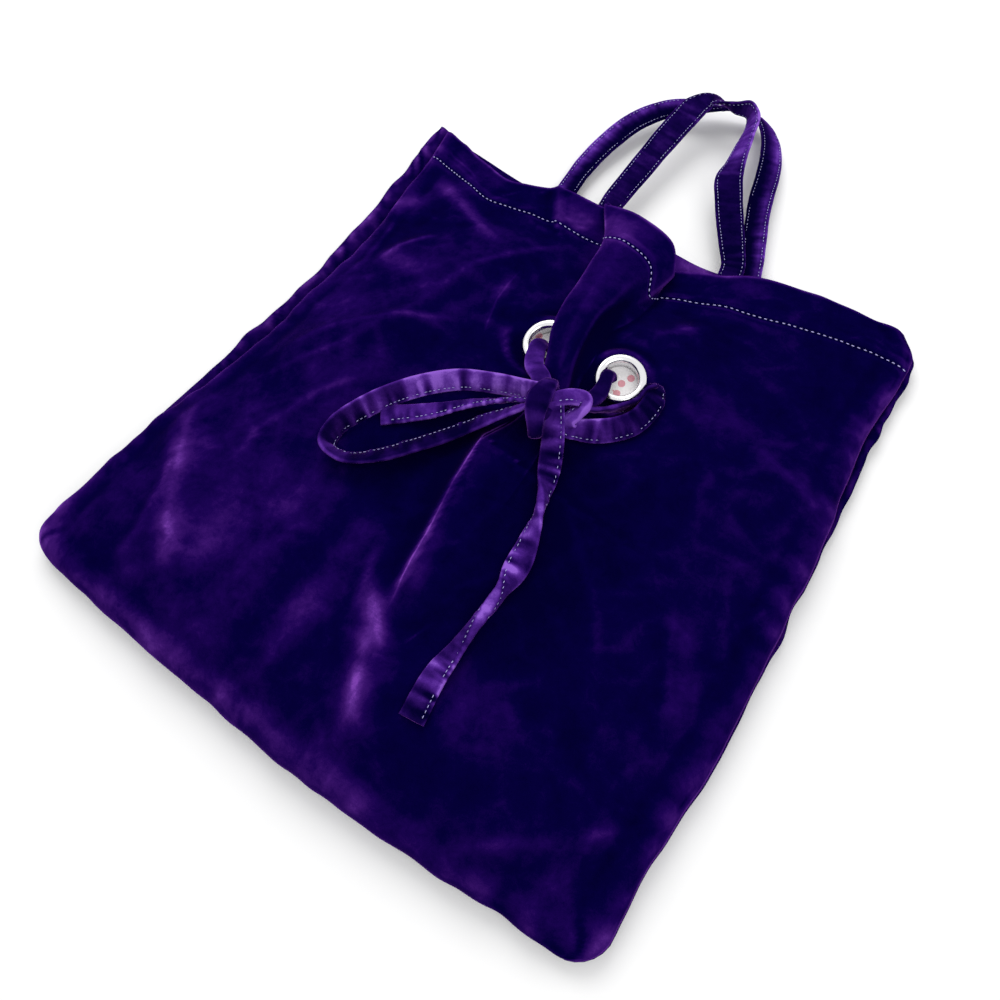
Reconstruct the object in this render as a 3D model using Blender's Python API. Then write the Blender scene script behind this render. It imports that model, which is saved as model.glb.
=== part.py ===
"""A velvet drawstring bag that lies on its back.

The bag is two velvet panels with linings. A velvet tie runs through two eyelets in the front panel
and is knotted in a bow, which gathers the front into a pleat. Two strap handles are sewn inside the mouth.
X runs across the bag, Y from its bottom edge to its mouth, and Z up from the table. Lengths are metres.
"""

import math

import bmesh
import bpy
from mathutils import Vector

# Bag outline
BAG_WIDTH = 0.303
BAG_HEIGHT = 0.321
CORNER_RADIUS = 0.017
BOTTOM_BOW = 0.0065
SIDE_DRAW = 0.0035
SIDE_SWAY = 0.0045
SIDE_SHOW = 0.007
SHOW_START = 0.080
SHOW_FADE = 0.145
SEAM_INSET = 0.0018

# Cloth layers
CLOTH = 0.0020
HEM_DEPTH = 0.024
HEM_CLOTH = 0.0034
LINING_CLOTH = 0.0010
LAYER_GAP = 0.0004
SEAM_GAP = 0.0006
LINING_INSET = 0.024

# How the bag lies
EDGE_CURL = 0.004
CURL_REACH = 0.016
FRONT_RISE = 0.024
MOUTH_RISE = 0.011
MOUTH_FALL = 0.150
BOTTOM_ROUND = 0.055
MOUTH_DIP = 0.023
DIP_CENTRE = 0.022
DIP_SPREAD = 0.050
DIP_REACH = 0.095

# Eyelets
EYELET_DROP = 0.107
EYELET_SPACING = 0.040
GATHER_CENTRE = 0.013
EYELET_OUTER = 0.0123
EYELET_BORE = 0.0082
EYELET_WALL = 0.0010
EYELET_DOME = 0.0022
LIP_WIDTH = 0.0013
LIP_DEPTH = 0.0012
WASHER_OUTER = 0.0115
WASHER_THICK = 0.0010
EYELET_TILT = math.radians(12)
EYELET_LEAN = math.radians(7)
SEAT_MARGIN = 0.001
PLEAT_BLEND = 0.007

# Eyelet's domed top: share of the way from its edge to its bore, share of the dome's height
DOME = ((0.0, 0.35), (0.25, 0.88), (0.5, 1.0), (0.8, 0.80), (1.0, 0.30))
LIP_START = 0.3
LIP_END = 0.6

# Pleat stations: drop below the mouth, crest place, left width, right width, height
PLEAT = (
    (0.000, -0.003, 0.026, 0.032, 0.0150),
    (0.022, -0.001, 0.016, 0.0275, 0.0165),
    (0.070, 0.000, 0.014, 0.022, 0.0160),
    (0.087, 0.001, 0.013, 0.0175, 0.0145),
    (0.107, 0.0125, 0.010, 0.010, 0.0110),
    (0.131, 0.0125, 0.011, 0.012, 0.0080),
    (0.145, 0.0145, 0.014, 0.016, 0.0055),
    (0.171, 0.0125, 0.020, 0.025, 0.0012),
    (0.200, 0.012, 0.024, 0.030, 0.0000),
)
# Folds of the front: height, left width, right width, then the crest's places across and drops below the mouth
FOLDS = (
    (0.0065, 0.009, 0.042, ((0.012, 0.145), (0.001, 0.168), (0.005, 0.214), (0.012, 0.255))),
    (0.0042, 0.010, 0.025, ((0.002, 0.243), (0.020, 0.274), (0.031, 0.311))),
    (0.0030, 0.014, 0.021, ((-0.018, 0.217), (-0.011, 0.259), (-0.002, 0.317))),
    (0.0038, 0.025, 0.035, ((-0.035, 0.031), (-0.051, 0.083), (-0.069, 0.107), (-0.079, 0.158), (-0.125, 0.213))),
    (0.0030, 0.018, 0.025, ((0.058, 0.045), (0.040, 0.070), (0.028, 0.095))),
    (0.0026, 0.018, 0.018, ((0.100, 0.105), (0.149, 0.121))),
    (0.0030, 0.025, 0.018, ((0.146, 0.266), (0.110, 0.295), (0.070, 0.318))),
    (0.0022, 0.018, 0.021, ((-0.134, 0.211), (-0.103, 0.261), (-0.076, 0.301))),
    (0.0024, 0.011, 0.035, ((0.045, 0.169), (0.088, 0.213), (0.104, 0.241))),
)
FOLD_FADE = 0.28
LINING_SLACK = 0.45
MOST_STEEP = 1.8
GATHER_FLANK = 0.022
KNOT_ZONE = 0.030

# Handles
HANDLE_WIDTH = 0.012
STRAP_THICK = 0.0024
FRONT_LEFT_FOOT = -0.027
FRONT_RIGHT_FOOT = 0.049
BACK_LEFT_FOOT = -0.058
BACK_RIGHT_FOOT = 0.063
FRONT_REACH = 0.093
BACK_REACH = 0.101
FRONT_AXIS_BACK = 0.005
BACK_AXIS_OUT = 0.003
TAB_LENGTH = 0.022
FRONT_LIFT = 0.010
BACK_LIFT = 0.005
HANDLE_TURN = math.radians(58)
ROUND_STEP = math.radians(40)

# Handle shape: share of the way between its feet, share of its reach
FRONT_SHAPE = (
    (0.00, 0.00),
    (0.01, 0.10),
    (0.04, 0.30),
    (0.09, 0.62),
    (0.14, 0.88),
    (0.23, 0.99),
    (0.33, 0.98),
    (0.42, 0.86),
    (0.49, 0.62),
    (0.68, 0.34),
    (0.95, 0.10),
    (1.00, 0.00),
)
BACK_SHAPE = (
    (0.00, 0.00),
    (0.00, 0.08),
    (0.01, 0.24),
    (0.04, 0.53),
    (0.12, 0.79),
    (0.26, 0.97),
    (0.42, 1.00),
    (0.55, 0.96),
    (0.66, 0.85),
    (0.77, 0.62),
    (0.88, 0.33),
    (0.99, 0.08),
    (1.00, 0.00),
)

# Tie
TIE_WIDTH = 0.011
KNOT_PLACE = (0.023, 0.142)
KNOT_SIZE = (0.0140, 0.0115, 0.0080)

# Tie routes: place across, drop below the mouth, lift over the cloth, turn in degrees, share of the width
LEFT_LOOP = (
    (0.017, 0.141, 0.0100, 75, 0.55),
    (0.006, 0.142, 0.0100, 70, 0.75),
    (-0.008, 0.145, 0.0085, 60, 1.0),
    (-0.022, 0.152, 0.0070, 52, 1.0),
    (-0.033, 0.163, 0.0062, 48, 1.0),
    (-0.042, 0.176, 0.0060, 48, 1.0),
    (-0.049, 0.189, 0.0060, 50, 1.0),
    (-0.052, 0.201, 0.0062, 58, 1.0),
    (-0.049, 0.210, 0.0064, 64, 1.0),
    (-0.041, 0.212, 0.0064, 58, 1.0),
    (-0.031, 0.204, 0.0064, 52, 1.0),
    (-0.020, 0.193, 0.0066, 52, 1.0),
    (-0.009, 0.179, 0.0072, 58, 1.0),
    (0.004, 0.164, 0.0085, 66, 0.8),
    (0.017, 0.147, 0.0090, 75, 0.55),
)
LEFT_TAIL = (
    (0.014, 0.146, 0.0070, 60, 0.55),
    (0.001, 0.153, 0.0060, 20, 0.8),
    (-0.013, 0.165, 0.0045, 10, 1.0),
    (-0.026, 0.177, 0.0024, 0, 1.0),
    (-0.037, 0.186, 0.0024, 0, 1.0),
)
RIGHT_LOOP = (
    (0.029, 0.144, 0.0070, 80, 0.6),
    (0.041, 0.144, 0.0072, 82, 0.9),
    (0.051, 0.139, 0.0074, 84, 1.0),
    (0.057, 0.128, 0.0080, 84, 1.0),
    (0.059, 0.117, 0.0100, 84, 1.0),
    (0.055, 0.109, 0.0120, 84, 1.0),
    (0.049, 0.114, 0.0125, 84, 1.0),
    (0.044, 0.127, 0.0120, 82, 0.9),
    (0.031, 0.139, 0.0110, 80, 0.6),
)
RIGHT_TAIL = (
    (0.026, 0.146, 0.0070, 40, 0.55),
    (0.031, 0.158, 0.0050, 25, 0.8),
    (0.037, 0.172, 0.0034, 10, 1.0),
    (0.043, 0.192, 0.0026, 0, 1.0),
    (0.046, 0.218, 0.0024, 0, 1.0),
    (0.047, 0.242, 0.0024, 0, 1.0),
    (0.048, 0.261, 0.0024, 0, 1.0),
    (0.050, 0.281, 0.0024, 0, 1.0),
)

# Tie from the knot to an eyelet: share of the eyelet's radius out, of its dome up, of the tie's width
YOKE_LEG = ((1.35, 3.2, 0.80), (0.50, 2.9, 0.90), (0.10, 0.6, 0.95))
YOKE_DOWN = 0.75
YOKE_UNDER = 1.35
YOKE_TUCK = 0.3
YOKE_SAG = 0.4
KNOT_ENTRY = 0.3
ENTRY_WIDTH = 0.55

# Shading
SHARP_ANGLE = math.radians(40)

# Counts
SIDE_SAMPLES = 40
FLANK_CELLS = 3
SEAT_CELLS = 4
SIDE_CELLS = 8
EDGE_CELLS = 5
BODY_CELLS = 8
KNOT_CELLS = 3
UPPER_CELLS = 7
HEM_ROW_STEPS = 2
BACK_CELLS = 9
BACK_ROWS = 7
LINING_COLUMNS = 6
LINING_ROWS = 8
TAB_CELLS = 3
EYELET_SIDES = 28
HANDLE_STEPS = 40
LEFT_LOOP_STEPS = 38
RIGHT_LOOP_STEPS = 24
LEFT_TAIL_STEPS = 12
RIGHT_TAIL_STEPS = 22
YOKE_STEPS = 34

# Derived places
FRONT_FEET = (FRONT_LEFT_FOOT, FRONT_RIGHT_FOOT)
BACK_FEET = (BACK_LEFT_FOOT, BACK_RIGHT_FOOT)
HANDLE_EDGE = (HANDLE_WIDTH * math.cos(HANDLE_TURN) + STRAP_THICK * math.sin(HANDLE_TURN)) / 2
MIDDLE = (BAG_HEIGHT + BACK_AXIS_OUT + BACK_REACH + HANDLE_EDGE - BOTTOM_BOW) / 2
EYELET_PLACES = {
    "left": (GATHER_CENTRE - EYELET_SPACING / 2, -1),
    "right": (GATHER_CENTRE + EYELET_SPACING / 2, 1),
}
EYELET_ALONG = BAG_HEIGHT - EYELET_DROP
FLAT_ZONE = EYELET_OUTER + SEAT_MARGIN
HEM_STEP = HEM_DEPTH / 4
BARREL = EYELET_BORE + EYELET_WALL

for leftover in list(bpy.data.objects):
    bpy.data.objects.remove(leftover, do_unlink=True)


def material(name, colour, roughness, metallic=0.0):
    """A plain Principled material."""
    made = bpy.data.materials.new(name)
    made.use_nodes = True
    shader = made.node_tree.nodes["Principled BSDF"]
    shader.inputs["Base Color"].default_value = (*colour, 1.0)
    shader.inputs["Roughness"].default_value = roughness
    shader.inputs["Metallic"].default_value = metallic
    return made


VELVET = material("velvet", (0.030, 0.006, 0.150), 0.85)
TIE_VELVET = material("tie_velvet", (0.050, 0.014, 0.210), 0.85)
LINING = material("lining", (0.86, 0.84, 0.84), 0.75)
NICKEL = material("nickel", (0.80, 0.80, 0.82), 0.18, 1.0)


def smooth(t):
    """Zero to one with flat ends."""
    t = min(max(t, 0.0), 1.0)
    return t * t * (3 - 2 * t)


def mix(a, b, t):
    return a + (b - a) * t


def sway(along):
    """How far the bag leans to the right between its bottom and its mouth."""
    return SIDE_SWAY * math.sin(math.pi * min(max(along / BAG_HEIGHT, 0.0), 1.0))


def side_edge(along):
    """Half the bag's width, which the gather draws in towards the mouth."""
    return BAG_WIDTH / 2 - SIDE_DRAW * math.sin(math.pi * min(max(along / BAG_HEIGHT, 0.0), 1.0)) ** 2


def side_centre():
    """Middle of the bag's whole width, where the part's origin lies."""
    places = [BAG_HEIGHT * k / SIDE_SAMPLES for k in range(1, SIDE_SAMPLES)]
    right = max(sway(a) + side_edge(a) for a in places)
    left = min(sway(a) - side_edge(a) for a in places)
    return (left + right) / 2


SIDE_CENTRE = side_centre()


def place(x, along, z):
    """A point of the part from its place across, its distance from the bottom corners and its height."""
    return Vector((x + sway(along) - SIDE_CENTRE, along - MIDDLE, z))


def half_width(along, inset):
    """Half the bag's width at this distance from the bottom edge, with rounded corners."""
    edge = side_edge(along) - inset
    radius = CORNER_RADIUS - min(inset, SEAM_INSET)
    if along >= radius:
        return edge
    return edge - radius + math.sqrt(radius**2 - (radius - max(along, 0.0)) ** 2)


def front_inset(along):
    """How far the front panel's side edge lies inside the back panel's."""
    return mix(SEAM_INSET, SIDE_SHOW, smooth((along - SHOW_START) / SHOW_FADE))


def front_half(along):
    return half_width(along - SEAM_INSET, front_inset(along))


def cloth_at(along):
    """Thickness of the velvet, which is doubled in the hem."""
    return mix(CLOTH, HEM_CLOTH, smooth((along - BAG_HEIGHT + HEM_DEPTH) / HEM_STEP))


def bow(share, along):
    """How far the bottom edge bows out, dying away towards the mouth."""
    return BOTTOM_BOW * (1 - share**2) ** 2 * (1 - along / BAG_HEIGHT) ** 3


def dip(x, along):
    """How far the gather pulls the front's mouth edge down."""
    ramp = smooth((along - BAG_HEIGHT + DIP_REACH) / DIP_REACH)
    return MOUTH_DIP * math.exp(-(((x - DIP_CENTRE) / DIP_SPREAD) ** 2)) * ramp


def back_low(x, along):
    """Underside of the back panel, which turns up near its edges."""
    edge = min(half_width(along, 0.0) - abs(x), along)
    return EDGE_CURL * (1 - smooth(edge / CURL_REACH))


def back_top(x, along):
    return back_low(x, along) + cloth_at(along)


def pleat(x, along):
    """Height of the pleat that the tie gathers."""
    drop = min(max(BAG_HEIGHT - along, PLEAT[0][0]), PLEAT[-1][0])
    upper = max(i for i in range(len(PLEAT) - 1) if PLEAT[i][0] <= drop)
    low, high = PLEAT[upper], PLEAT[upper + 1]
    t = smooth((drop - low[0]) / (high[0] - low[0]))
    crest, left, right, height = (mix(low[k], high[k], t) for k in range(1, 5))
    reach = (x - crest) / (left if x < crest else right)
    return height * math.cos(math.pi / 2 * min(reach**2, 1.0)) ** 2


def fold(x, along, height, left, right, crest):
    """Height of one soft fold, which dies away at both ends of its crest."""
    spot = Vector((x + sway(along), BAG_HEIGHT - along))
    best, share, width = BAG_WIDTH, 0.0, left
    for k, (start, end) in enumerate(zip(crest, crest[1:])):
        run = Vector(end) - Vector(start)
        t = min(max((spot - Vector(start)).dot(run) / run.length_squared, 0.0), 1.0)
        off = spot - Vector(start) - run * t
        if off.length < best:
            best, share = off.length, (k + t) / (len(crest) - 1)
            width = left if off.cross(run) < 0 else right
    ends = smooth(share / FOLD_FADE) * smooth((1 - share) / FOLD_FADE)
    return height * ends * math.cos(math.pi / 2 * min(best / width, 1.0)) ** 2


def swell(x, along):
    """Zero at the side seams and the bottom seam, rising to one over the middle of the front."""
    share = min(abs(x) / front_half(along), 1.0)
    end = min(max((along - SEAM_INSET) / BOTTOM_ROUND, 0.0), 1.0)
    return math.sqrt(1 - share**4) * math.sqrt(1 - (1 - end) ** 2)


def front_plain(x, along):
    """Outer face of the front panel without its pleat and folds."""
    rise = mix(FRONT_RISE, MOUTH_RISE, smooth((along - BAG_HEIGHT + MOUTH_FALL) / MOUTH_FALL))
    return back_top(x, along) + SEAM_GAP + rise * swell(x, along)


def eyelet_plane(side, x, along):
    """Height of the flat seat round an eyelet, which faces a little outwards and to the bottom."""
    centre, sign = EYELET_PLACES[side]
    level = front_plain(centre, EYELET_ALONG)
    tilt = (along - EYELET_ALONG) * math.tan(EYELET_TILT)
    return level + tilt - sign * (x - centre) * math.tan(EYELET_LEAN)


def seat_share(side, x, along):
    """One on an eyelet's seat, falling to zero round it."""
    centre, _ = EYELET_PLACES[side]
    away = max(abs(x - centre), abs(along - EYELET_ALONG)) - FLAT_ZONE
    return 1 - smooth(away / PLEAT_BLEND)


def front_height(x, along, slack=0.0):
    """Outer face of the front panel. Slack leaves out a share of its pleat and folds."""
    relief = pleat(x, along) + sum(fold(x, along, *row) for row in FOLDS)
    z = front_plain(x, along) + (1 - slack) * relief * swell(x, along)
    for side in EYELET_PLACES:
        z = mix(z, eyelet_plane(side, x, along), seat_share(side, x, along))
    return z


def front_point(share, along, slack=0.0):
    x = share * front_half(along)
    y = along - bow(share, along) - dip(x, along)
    return place(x, y, front_height(x, along, slack))


def front_normal(share, along):
    """Outward direction of the front panel."""
    step = 0.003
    s = min(max(share, -1 + step), 1 - step)
    a = min(max(along, SEAM_INSET + BAG_HEIGHT * step), BAG_HEIGHT * (1 - step))
    across = front_point(s + step, a) - front_point(s - step, a)
    upward = front_point(s, a + BAG_HEIGHT * step) - front_point(s, a - BAG_HEIGHT * step)
    return across.cross(upward).normalized()


def steepness(x, along):
    """How much longer a vertical offset is than one square to the front panel."""
    step = CLOTH
    run_x = (front_height(x + step, along) - front_height(x - step, along)) / (2 * step)
    run_y = (front_height(x, along + step) - front_height(x, along - step)) / (2 * step)
    return min(math.sqrt(1 + run_x**2 + run_y**2), MOST_STEEP)


def spread(low, high, cells):
    """Evenly spaced values from low up to, but not including, high."""
    return [mix(low, high, i / cells) for i in range(cells)]


def eased(low, high, cells):
    """Values from low up to, but not including, high, closer together near low."""
    return [mix(low, high, 1 - math.cos(math.pi / 2 * i / cells)) for i in range(cells)]


def front_columns():
    """Shares of the half width where the front panel's columns lie, closest round the gather."""
    left = EYELET_PLACES["left"][0]
    right = EYELET_PLACES["right"][0]
    flank = GATHER_FLANK
    lines = spread(left - FLAT_ZONE - flank, left - FLAT_ZONE, FLANK_CELLS)
    lines += spread(left - FLAT_ZONE, left + FLAT_ZONE, SEAT_CELLS)
    lines += spread(left + FLAT_ZONE, right - FLAT_ZONE, SEAT_CELLS)
    lines += spread(right - FLAT_ZONE, right + FLAT_ZONE, SEAT_CELLS)
    lines += spread(right + FLAT_ZONE, right + FLAT_ZONE + flank, FLANK_CELLS)
    lines += [right + FLAT_ZONE + flank]
    inner = [x / front_half(EYELET_ALONG) for x in lines]
    mirrored = [-s for s in eased(-1.0, -inner[-1], SIDE_CELLS)]
    return eased(-1.0, inner[0], SIDE_CELLS) + inner + mirrored[::-1]


def front_rows():
    """Distances from the bottom where the front panel's rows lie, closest round the gather."""
    rows = eased(SEAM_INSET, BOTTOM_ROUND, EDGE_CELLS)
    below = EYELET_ALONG - FLAT_ZONE
    above = EYELET_ALONG + FLAT_ZONE
    hem = BAG_HEIGHT - HEM_DEPTH
    rows += spread(BOTTOM_ROUND, below - KNOT_ZONE, BODY_CELLS)
    rows += spread(below - KNOT_ZONE, below, KNOT_CELLS)
    rows += spread(below, above, SEAT_CELLS)
    rows += spread(above, hem, UPPER_CELLS)
    rows += [hem]
    rows += spread(hem + HEM_STEP, BAG_HEIGHT, HEM_ROW_STEPS)
    return rows + [BAG_HEIGHT]


def add(name, bm, look, origin=Vector()):
    """Turns a bmesh into a named object whose origin is at the given point."""
    bmesh.ops.recalc_face_normals(bm, faces=bm.faces)
    bmesh.ops.translate(bm, verts=bm.verts, vec=-origin)
    mesh = bpy.data.meshes.new(name)
    bm.to_mesh(mesh)
    bm.free()
    mesh.materials.append(look)
    mesh.shade_smooth()
    mesh.set_sharp_from_angle(angle=SHARP_ANGLE)
    made = bpy.data.objects.new(name, mesh)
    made.location = origin
    bpy.context.collection.objects.link(made)
    return made


def shell(name, outer, inner, look):
    """A closed sheet between two grids of points of the same size."""
    bm = bmesh.new()
    layers = [[[bm.verts.new(p) for p in row] for row in grid] for grid in (outer, inner)]
    rows, columns = len(outer), len(outer[0])
    for layer in layers:
        for i in range(rows - 1):
            for j in range(columns - 1):
                a, b = layer[i][j], layer[i][j + 1]
                c, d = layer[i + 1][j + 1], layer[i + 1][j]
                bm.faces.new((a, b, d))
                bm.faces.new((b, c, d))
    rim = [(0, j) for j in range(columns)]
    rim += [(i, columns - 1) for i in range(1, rows)]
    rim += [(rows - 1, j) for j in range(columns - 2, -1, -1)]
    rim += [(i, 0) for i in range(rows - 2, 0, -1)]
    for (i, j), (k, m) in zip(rim, rim[1:] + rim[:1]):
        a, b = layers[0][i][j], layers[0][k][m]
        c, d = layers[1][k][m], layers[1][i][j]
        bm.faces.new((a, b, c))
        bm.faces.new((a, c, d))
    return add(name, bm, look)


def front_panel():
    """The front velvet, gathered between the eyelets, with its hem turned in."""
    outer, inner = [], []
    for along in front_rows():
        outer_row, inner_row = [], []
        for share in front_columns():
            point = front_point(share, along)
            under = point - front_normal(share, along) * cloth_at(along)
            under_along = max(under.y + MIDDLE, 0.0)
            floor = back_top(under.x + SIDE_CENTRE - sway(under_along), under_along) + SEAM_GAP
            under.z = max(under.z, min(floor, point.z))
            outer_row.append(point)
            inner_row.append(under)
        outer.append(outer_row)
        inner.append(inner_row)
    return shell("front_panel", outer, inner, VELVET)


def back_panel():
    """The back velvet, flat on the table, with its edges turned up."""
    half = eased(-1.0, 0.0, BACK_CELLS)
    columns = half + [0.0] + [-s for s in half[::-1]]
    hem = BAG_HEIGHT - HEM_DEPTH
    rows = [0.0] + eased(SEAM_INSET, BOTTOM_ROUND, EDGE_CELLS) + spread(BOTTOM_ROUND, hem, BACK_ROWS)
    rows += [hem, hem + HEM_STEP, BAG_HEIGHT]
    upper, lower = [], []
    for along in rows:
        upper_row, lower_row = [], []
        for share in columns:
            x = share * half_width(along, 0.0)
            y = along - bow(share, along)
            upper_row.append(place(x, y, back_top(x, along)))
            lower_row.append(place(x, y, back_low(x, along)))
        upper.append(upper_row)
        lower.append(lower_row)
    return shell("back_panel", upper, lower, VELVET)


def lining_rows(rows):
    return [a for a in rows if LINING_INSET < a < BAG_HEIGHT - HEM_DEPTH - LAYER_GAP]


def front_lining():
    """The front lining, which hangs a little slack under the pleat."""
    limit = 1 - LINING_INSET / (BAG_WIDTH / 2)
    columns = [s for s in front_columns() if abs(s) < limit]
    outer, inner = [], []
    for along in lining_rows(front_rows()):
        outer_row, inner_row = [], []
        for share in columns:
            point = front_point(share, along, LINING_SLACK)
            point.z -= (cloth_at(along) + LAYER_GAP) * steepness(share * front_half(along), along)
            outer_row.append(point)
            inner_row.append(point - Vector((0, 0, LINING_CLOTH)))
        outer.append(outer_row)
        inner.append(inner_row)
    return shell("front_lining", outer, inner, LINING)


def back_lining():
    """The back lining, flat on the back panel."""
    reach = BAG_WIDTH / 2 - LINING_INSET
    columns = spread(-reach, reach, LINING_COLUMNS) + [reach]
    upper, lower = [], []
    end = BAG_HEIGHT - HEM_DEPTH - LAYER_GAP
    for along in spread(LINING_INSET, end, LINING_ROWS) + [end]:
        upper_row, lower_row = [], []
        for x in columns:
            y = along - bow(x / half_width(along, 0.0), along)
            z = back_top(x, along) + LAYER_GAP
            lower_row.append(place(x, y, z))
            upper_row.append(place(x, y, z + LINING_CLOTH))
        upper.append(upper_row)
        lower.append(lower_row)
    return shell("back_lining", upper, lower, LINING)


def turned(name, profile, look):
    """A ring turned about Z from a closed profile of (radius, height) points."""
    bm = bmesh.new()
    rings = []
    for i in range(EYELET_SIDES):
        angle = 2 * math.pi * i / EYELET_SIDES
        rings.append([bm.verts.new((r * math.cos(angle), r * math.sin(angle), z)) for r, z in profile])
    for ring, after in zip(rings, rings[1:] + rings[:1]):
        for k in range(len(profile)):
            m = (k + 1) % len(profile)
            bm.faces.new((ring[k], ring[m], after[m], after[k]))
    return add(name, bm, look)


def eyelet_frame(side):
    """Where an eyelet's axis meets the outer face of the front panel, and its outward direction."""
    x, sign = EYELET_PLACES[side]
    share = x / front_half(EYELET_ALONG)
    seat = place(x, EYELET_ALONG - bow(share, EYELET_ALONG), eyelet_plane(side, x, EYELET_ALONG))
    outward = Vector((sign * math.tan(EYELET_LEAN), -math.tan(EYELET_TILT), 1)).normalized()
    return seat, outward


def stack_depth():
    """Depth of the velvet and the lining at an eyelet, with the gaps between them."""
    slope = math.sqrt(1 + math.tan(EYELET_LEAN) ** 2 + math.tan(EYELET_TILT) ** 2)
    return CLOTH + LAYER_GAP + (LINING_CLOTH + LAYER_GAP) / slope


def eyelet(side):
    """A domed eyelet whose barrel is rolled over a washer inside the bag."""
    foot = LAYER_GAP
    washer_top = -stack_depth() - LAYER_GAP
    washer_low = washer_top - WASHER_THICK
    lip_top = washer_low - LAYER_GAP
    dome = [(EYELET_OUTER, foot)]
    dome += [(mix(EYELET_OUTER, EYELET_BORE, across), foot + EYELET_DOME * up) for across, up in DOME]
    barrel = [
        (EYELET_BORE, lip_top - LIP_DEPTH * LIP_START),
        (BARREL, lip_top - LIP_DEPTH),
        (BARREL + LIP_WIDTH, lip_top - LIP_DEPTH * LIP_END),
        (BARREL + LIP_WIDTH, lip_top),
        (BARREL, lip_top),
        (BARREL, foot),
    ]
    seat, outward = eyelet_frame(side)
    made = turned(f"{side}_eyelet", dome + barrel, NICKEL)
    made.location = seat
    made.rotation_euler = outward.to_track_quat("Z", "Y").to_euler()
    ring = turned(
        f"{side}_washer",
        [
            (BARREL + LAYER_GAP, washer_low),
            (WASHER_OUTER, washer_low),
            (WASHER_OUTER, washer_top),
            (BARREL + LAYER_GAP, washer_top),
        ],
        NICKEL,
    )
    ring.location = seat
    ring.rotation_euler = made.rotation_euler
    return made


def cut(target, cutter):
    """Cuts one object's shape out of another."""
    boolean = target.modifiers.new("cut", "BOOLEAN")
    boolean.operation = "DIFFERENCE"
    boolean.solver = "EXACT"
    boolean.object = cutter


def hidden(made):
    made.hide_render = True
    made.display_type = "WIRE"
    return made


def eyelet_hole(side):
    """A cutter for the hole that an eyelet's barrel passes through."""
    seat, outward = eyelet_frame(side)
    bm = bmesh.new()
    radius = BARREL + LAYER_GAP
    bmesh.ops.create_cone(
        bm, cap_ends=True, segments=EYELET_SIDES, radius1=radius, radius2=radius, depth=EYELET_OUTER
    )
    cutter = add(f"{side}_hole", bm, NICKEL)
    cutter.location = seat
    cutter.rotation_euler = outward.to_track_quat("Z", "Y").to_euler()
    return hidden(cutter)


def through(points, steps):
    """Samples a smooth curve through rows of numbers."""
    rows = [points[0], *points, points[-1]]
    spans = len(points) - 1
    sampled = []
    for i in range(steps + 1):
        k = min(int(i * spans / steps), spans - 1)
        t = i * spans / steps - k
        p0, p1, p2, p3 = rows[k : k + 4]
        sampled.append(
            [
                b + t / 2 * (c - a + t * (2 * a - 5 * b + 4 * c - d + t * (3 * b - a - 3 * c + d)))
                for a, b, c, d in zip(p0, p1, p2, p3)
            ]
        )
    return sampled


def strap(name, stations, look, origin=Vector()):
    """A flat strap through stations of (centre, direction, side, width, thickness)."""
    bm = bmesh.new()
    rings = []
    for centre, forward, side, width, thick in stations:
        side = (side - forward * side.dot(forward)).normalized()
        up = side.cross(forward)
        a, b = width / 2, thick / 2
        bevel = b / 2
        corners = [(a, bevel), (a - bevel, b), (bevel - a, b), (-a, bevel)]
        corners += [(-u, -w) for u, w in corners]
        rings.append([bm.verts.new(centre + side * u + up * w) for u, w in corners])
    for ring, after in zip(rings, rings[1:]):
        for k in range(8):
            m = (k + 1) % 8
            bm.faces.new((ring[k], ring[m], after[m]))
            bm.faces.new((ring[k], after[m], after[k]))
    bm.faces.new(rings[0])
    bm.faces.new(rings[-1])
    return add(name, bm, look, origin)


def directions(centres):
    """Unit tangents along a list of points."""
    ends = zip([centres[0], *centres[:-1]], [*centres[1:], centres[-1]])
    return [(after - before).normalized() for before, after in ends]


def turned_side(forward, angle):
    """A strap's width direction: level at angle zero, standing on its edge at a right angle."""
    level = forward.cross(Vector((0, 0, 1))).normalized()
    return level * math.cos(angle) + level.cross(forward) * math.sin(angle)


def over_cloth(x, drop, lift):
    """A point above the front panel."""
    along = BAG_HEIGHT - drop
    x = x - sway(along)
    share = x / front_half(along)
    return place(x, along - bow(share, along) - dip(x, along), front_height(x, along) + lift)


def tie(name, route, steps, origin):
    """A free stretch of the tie along its route."""
    knots = [(*over_cloth(x, drop, lift), turn, share) for x, drop, lift, turn, share in route]
    rows = through(knots, steps)
    centres = [Vector(row[:3]) for row in rows]
    stations = []
    for row, centre, forward in zip(rows, centres, directions(centres)):
        side = turned_side(forward, math.radians(row[3]))
        stations.append((centre, forward, side, TIE_WIDTH * row[4], STRAP_THICK))
    return strap(name, stations, TIE_VELVET, origin)


def knot_centre():
    x, drop = KNOT_PLACE
    return over_cloth(x, drop, KNOT_SIZE[2] + SEAM_GAP)


def knot(name, grow):
    """The bow's knot, as a squashed ball."""
    bm = bmesh.new()
    bmesh.ops.create_icosphere(bm, subdivisions=3, radius=1.0)
    bmesh.ops.scale(bm, verts=bm.verts, vec=[half + grow for half in KNOT_SIZE])
    made = add(name, bm, TIE_VELVET)
    made.location = knot_centre()
    return made


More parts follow.
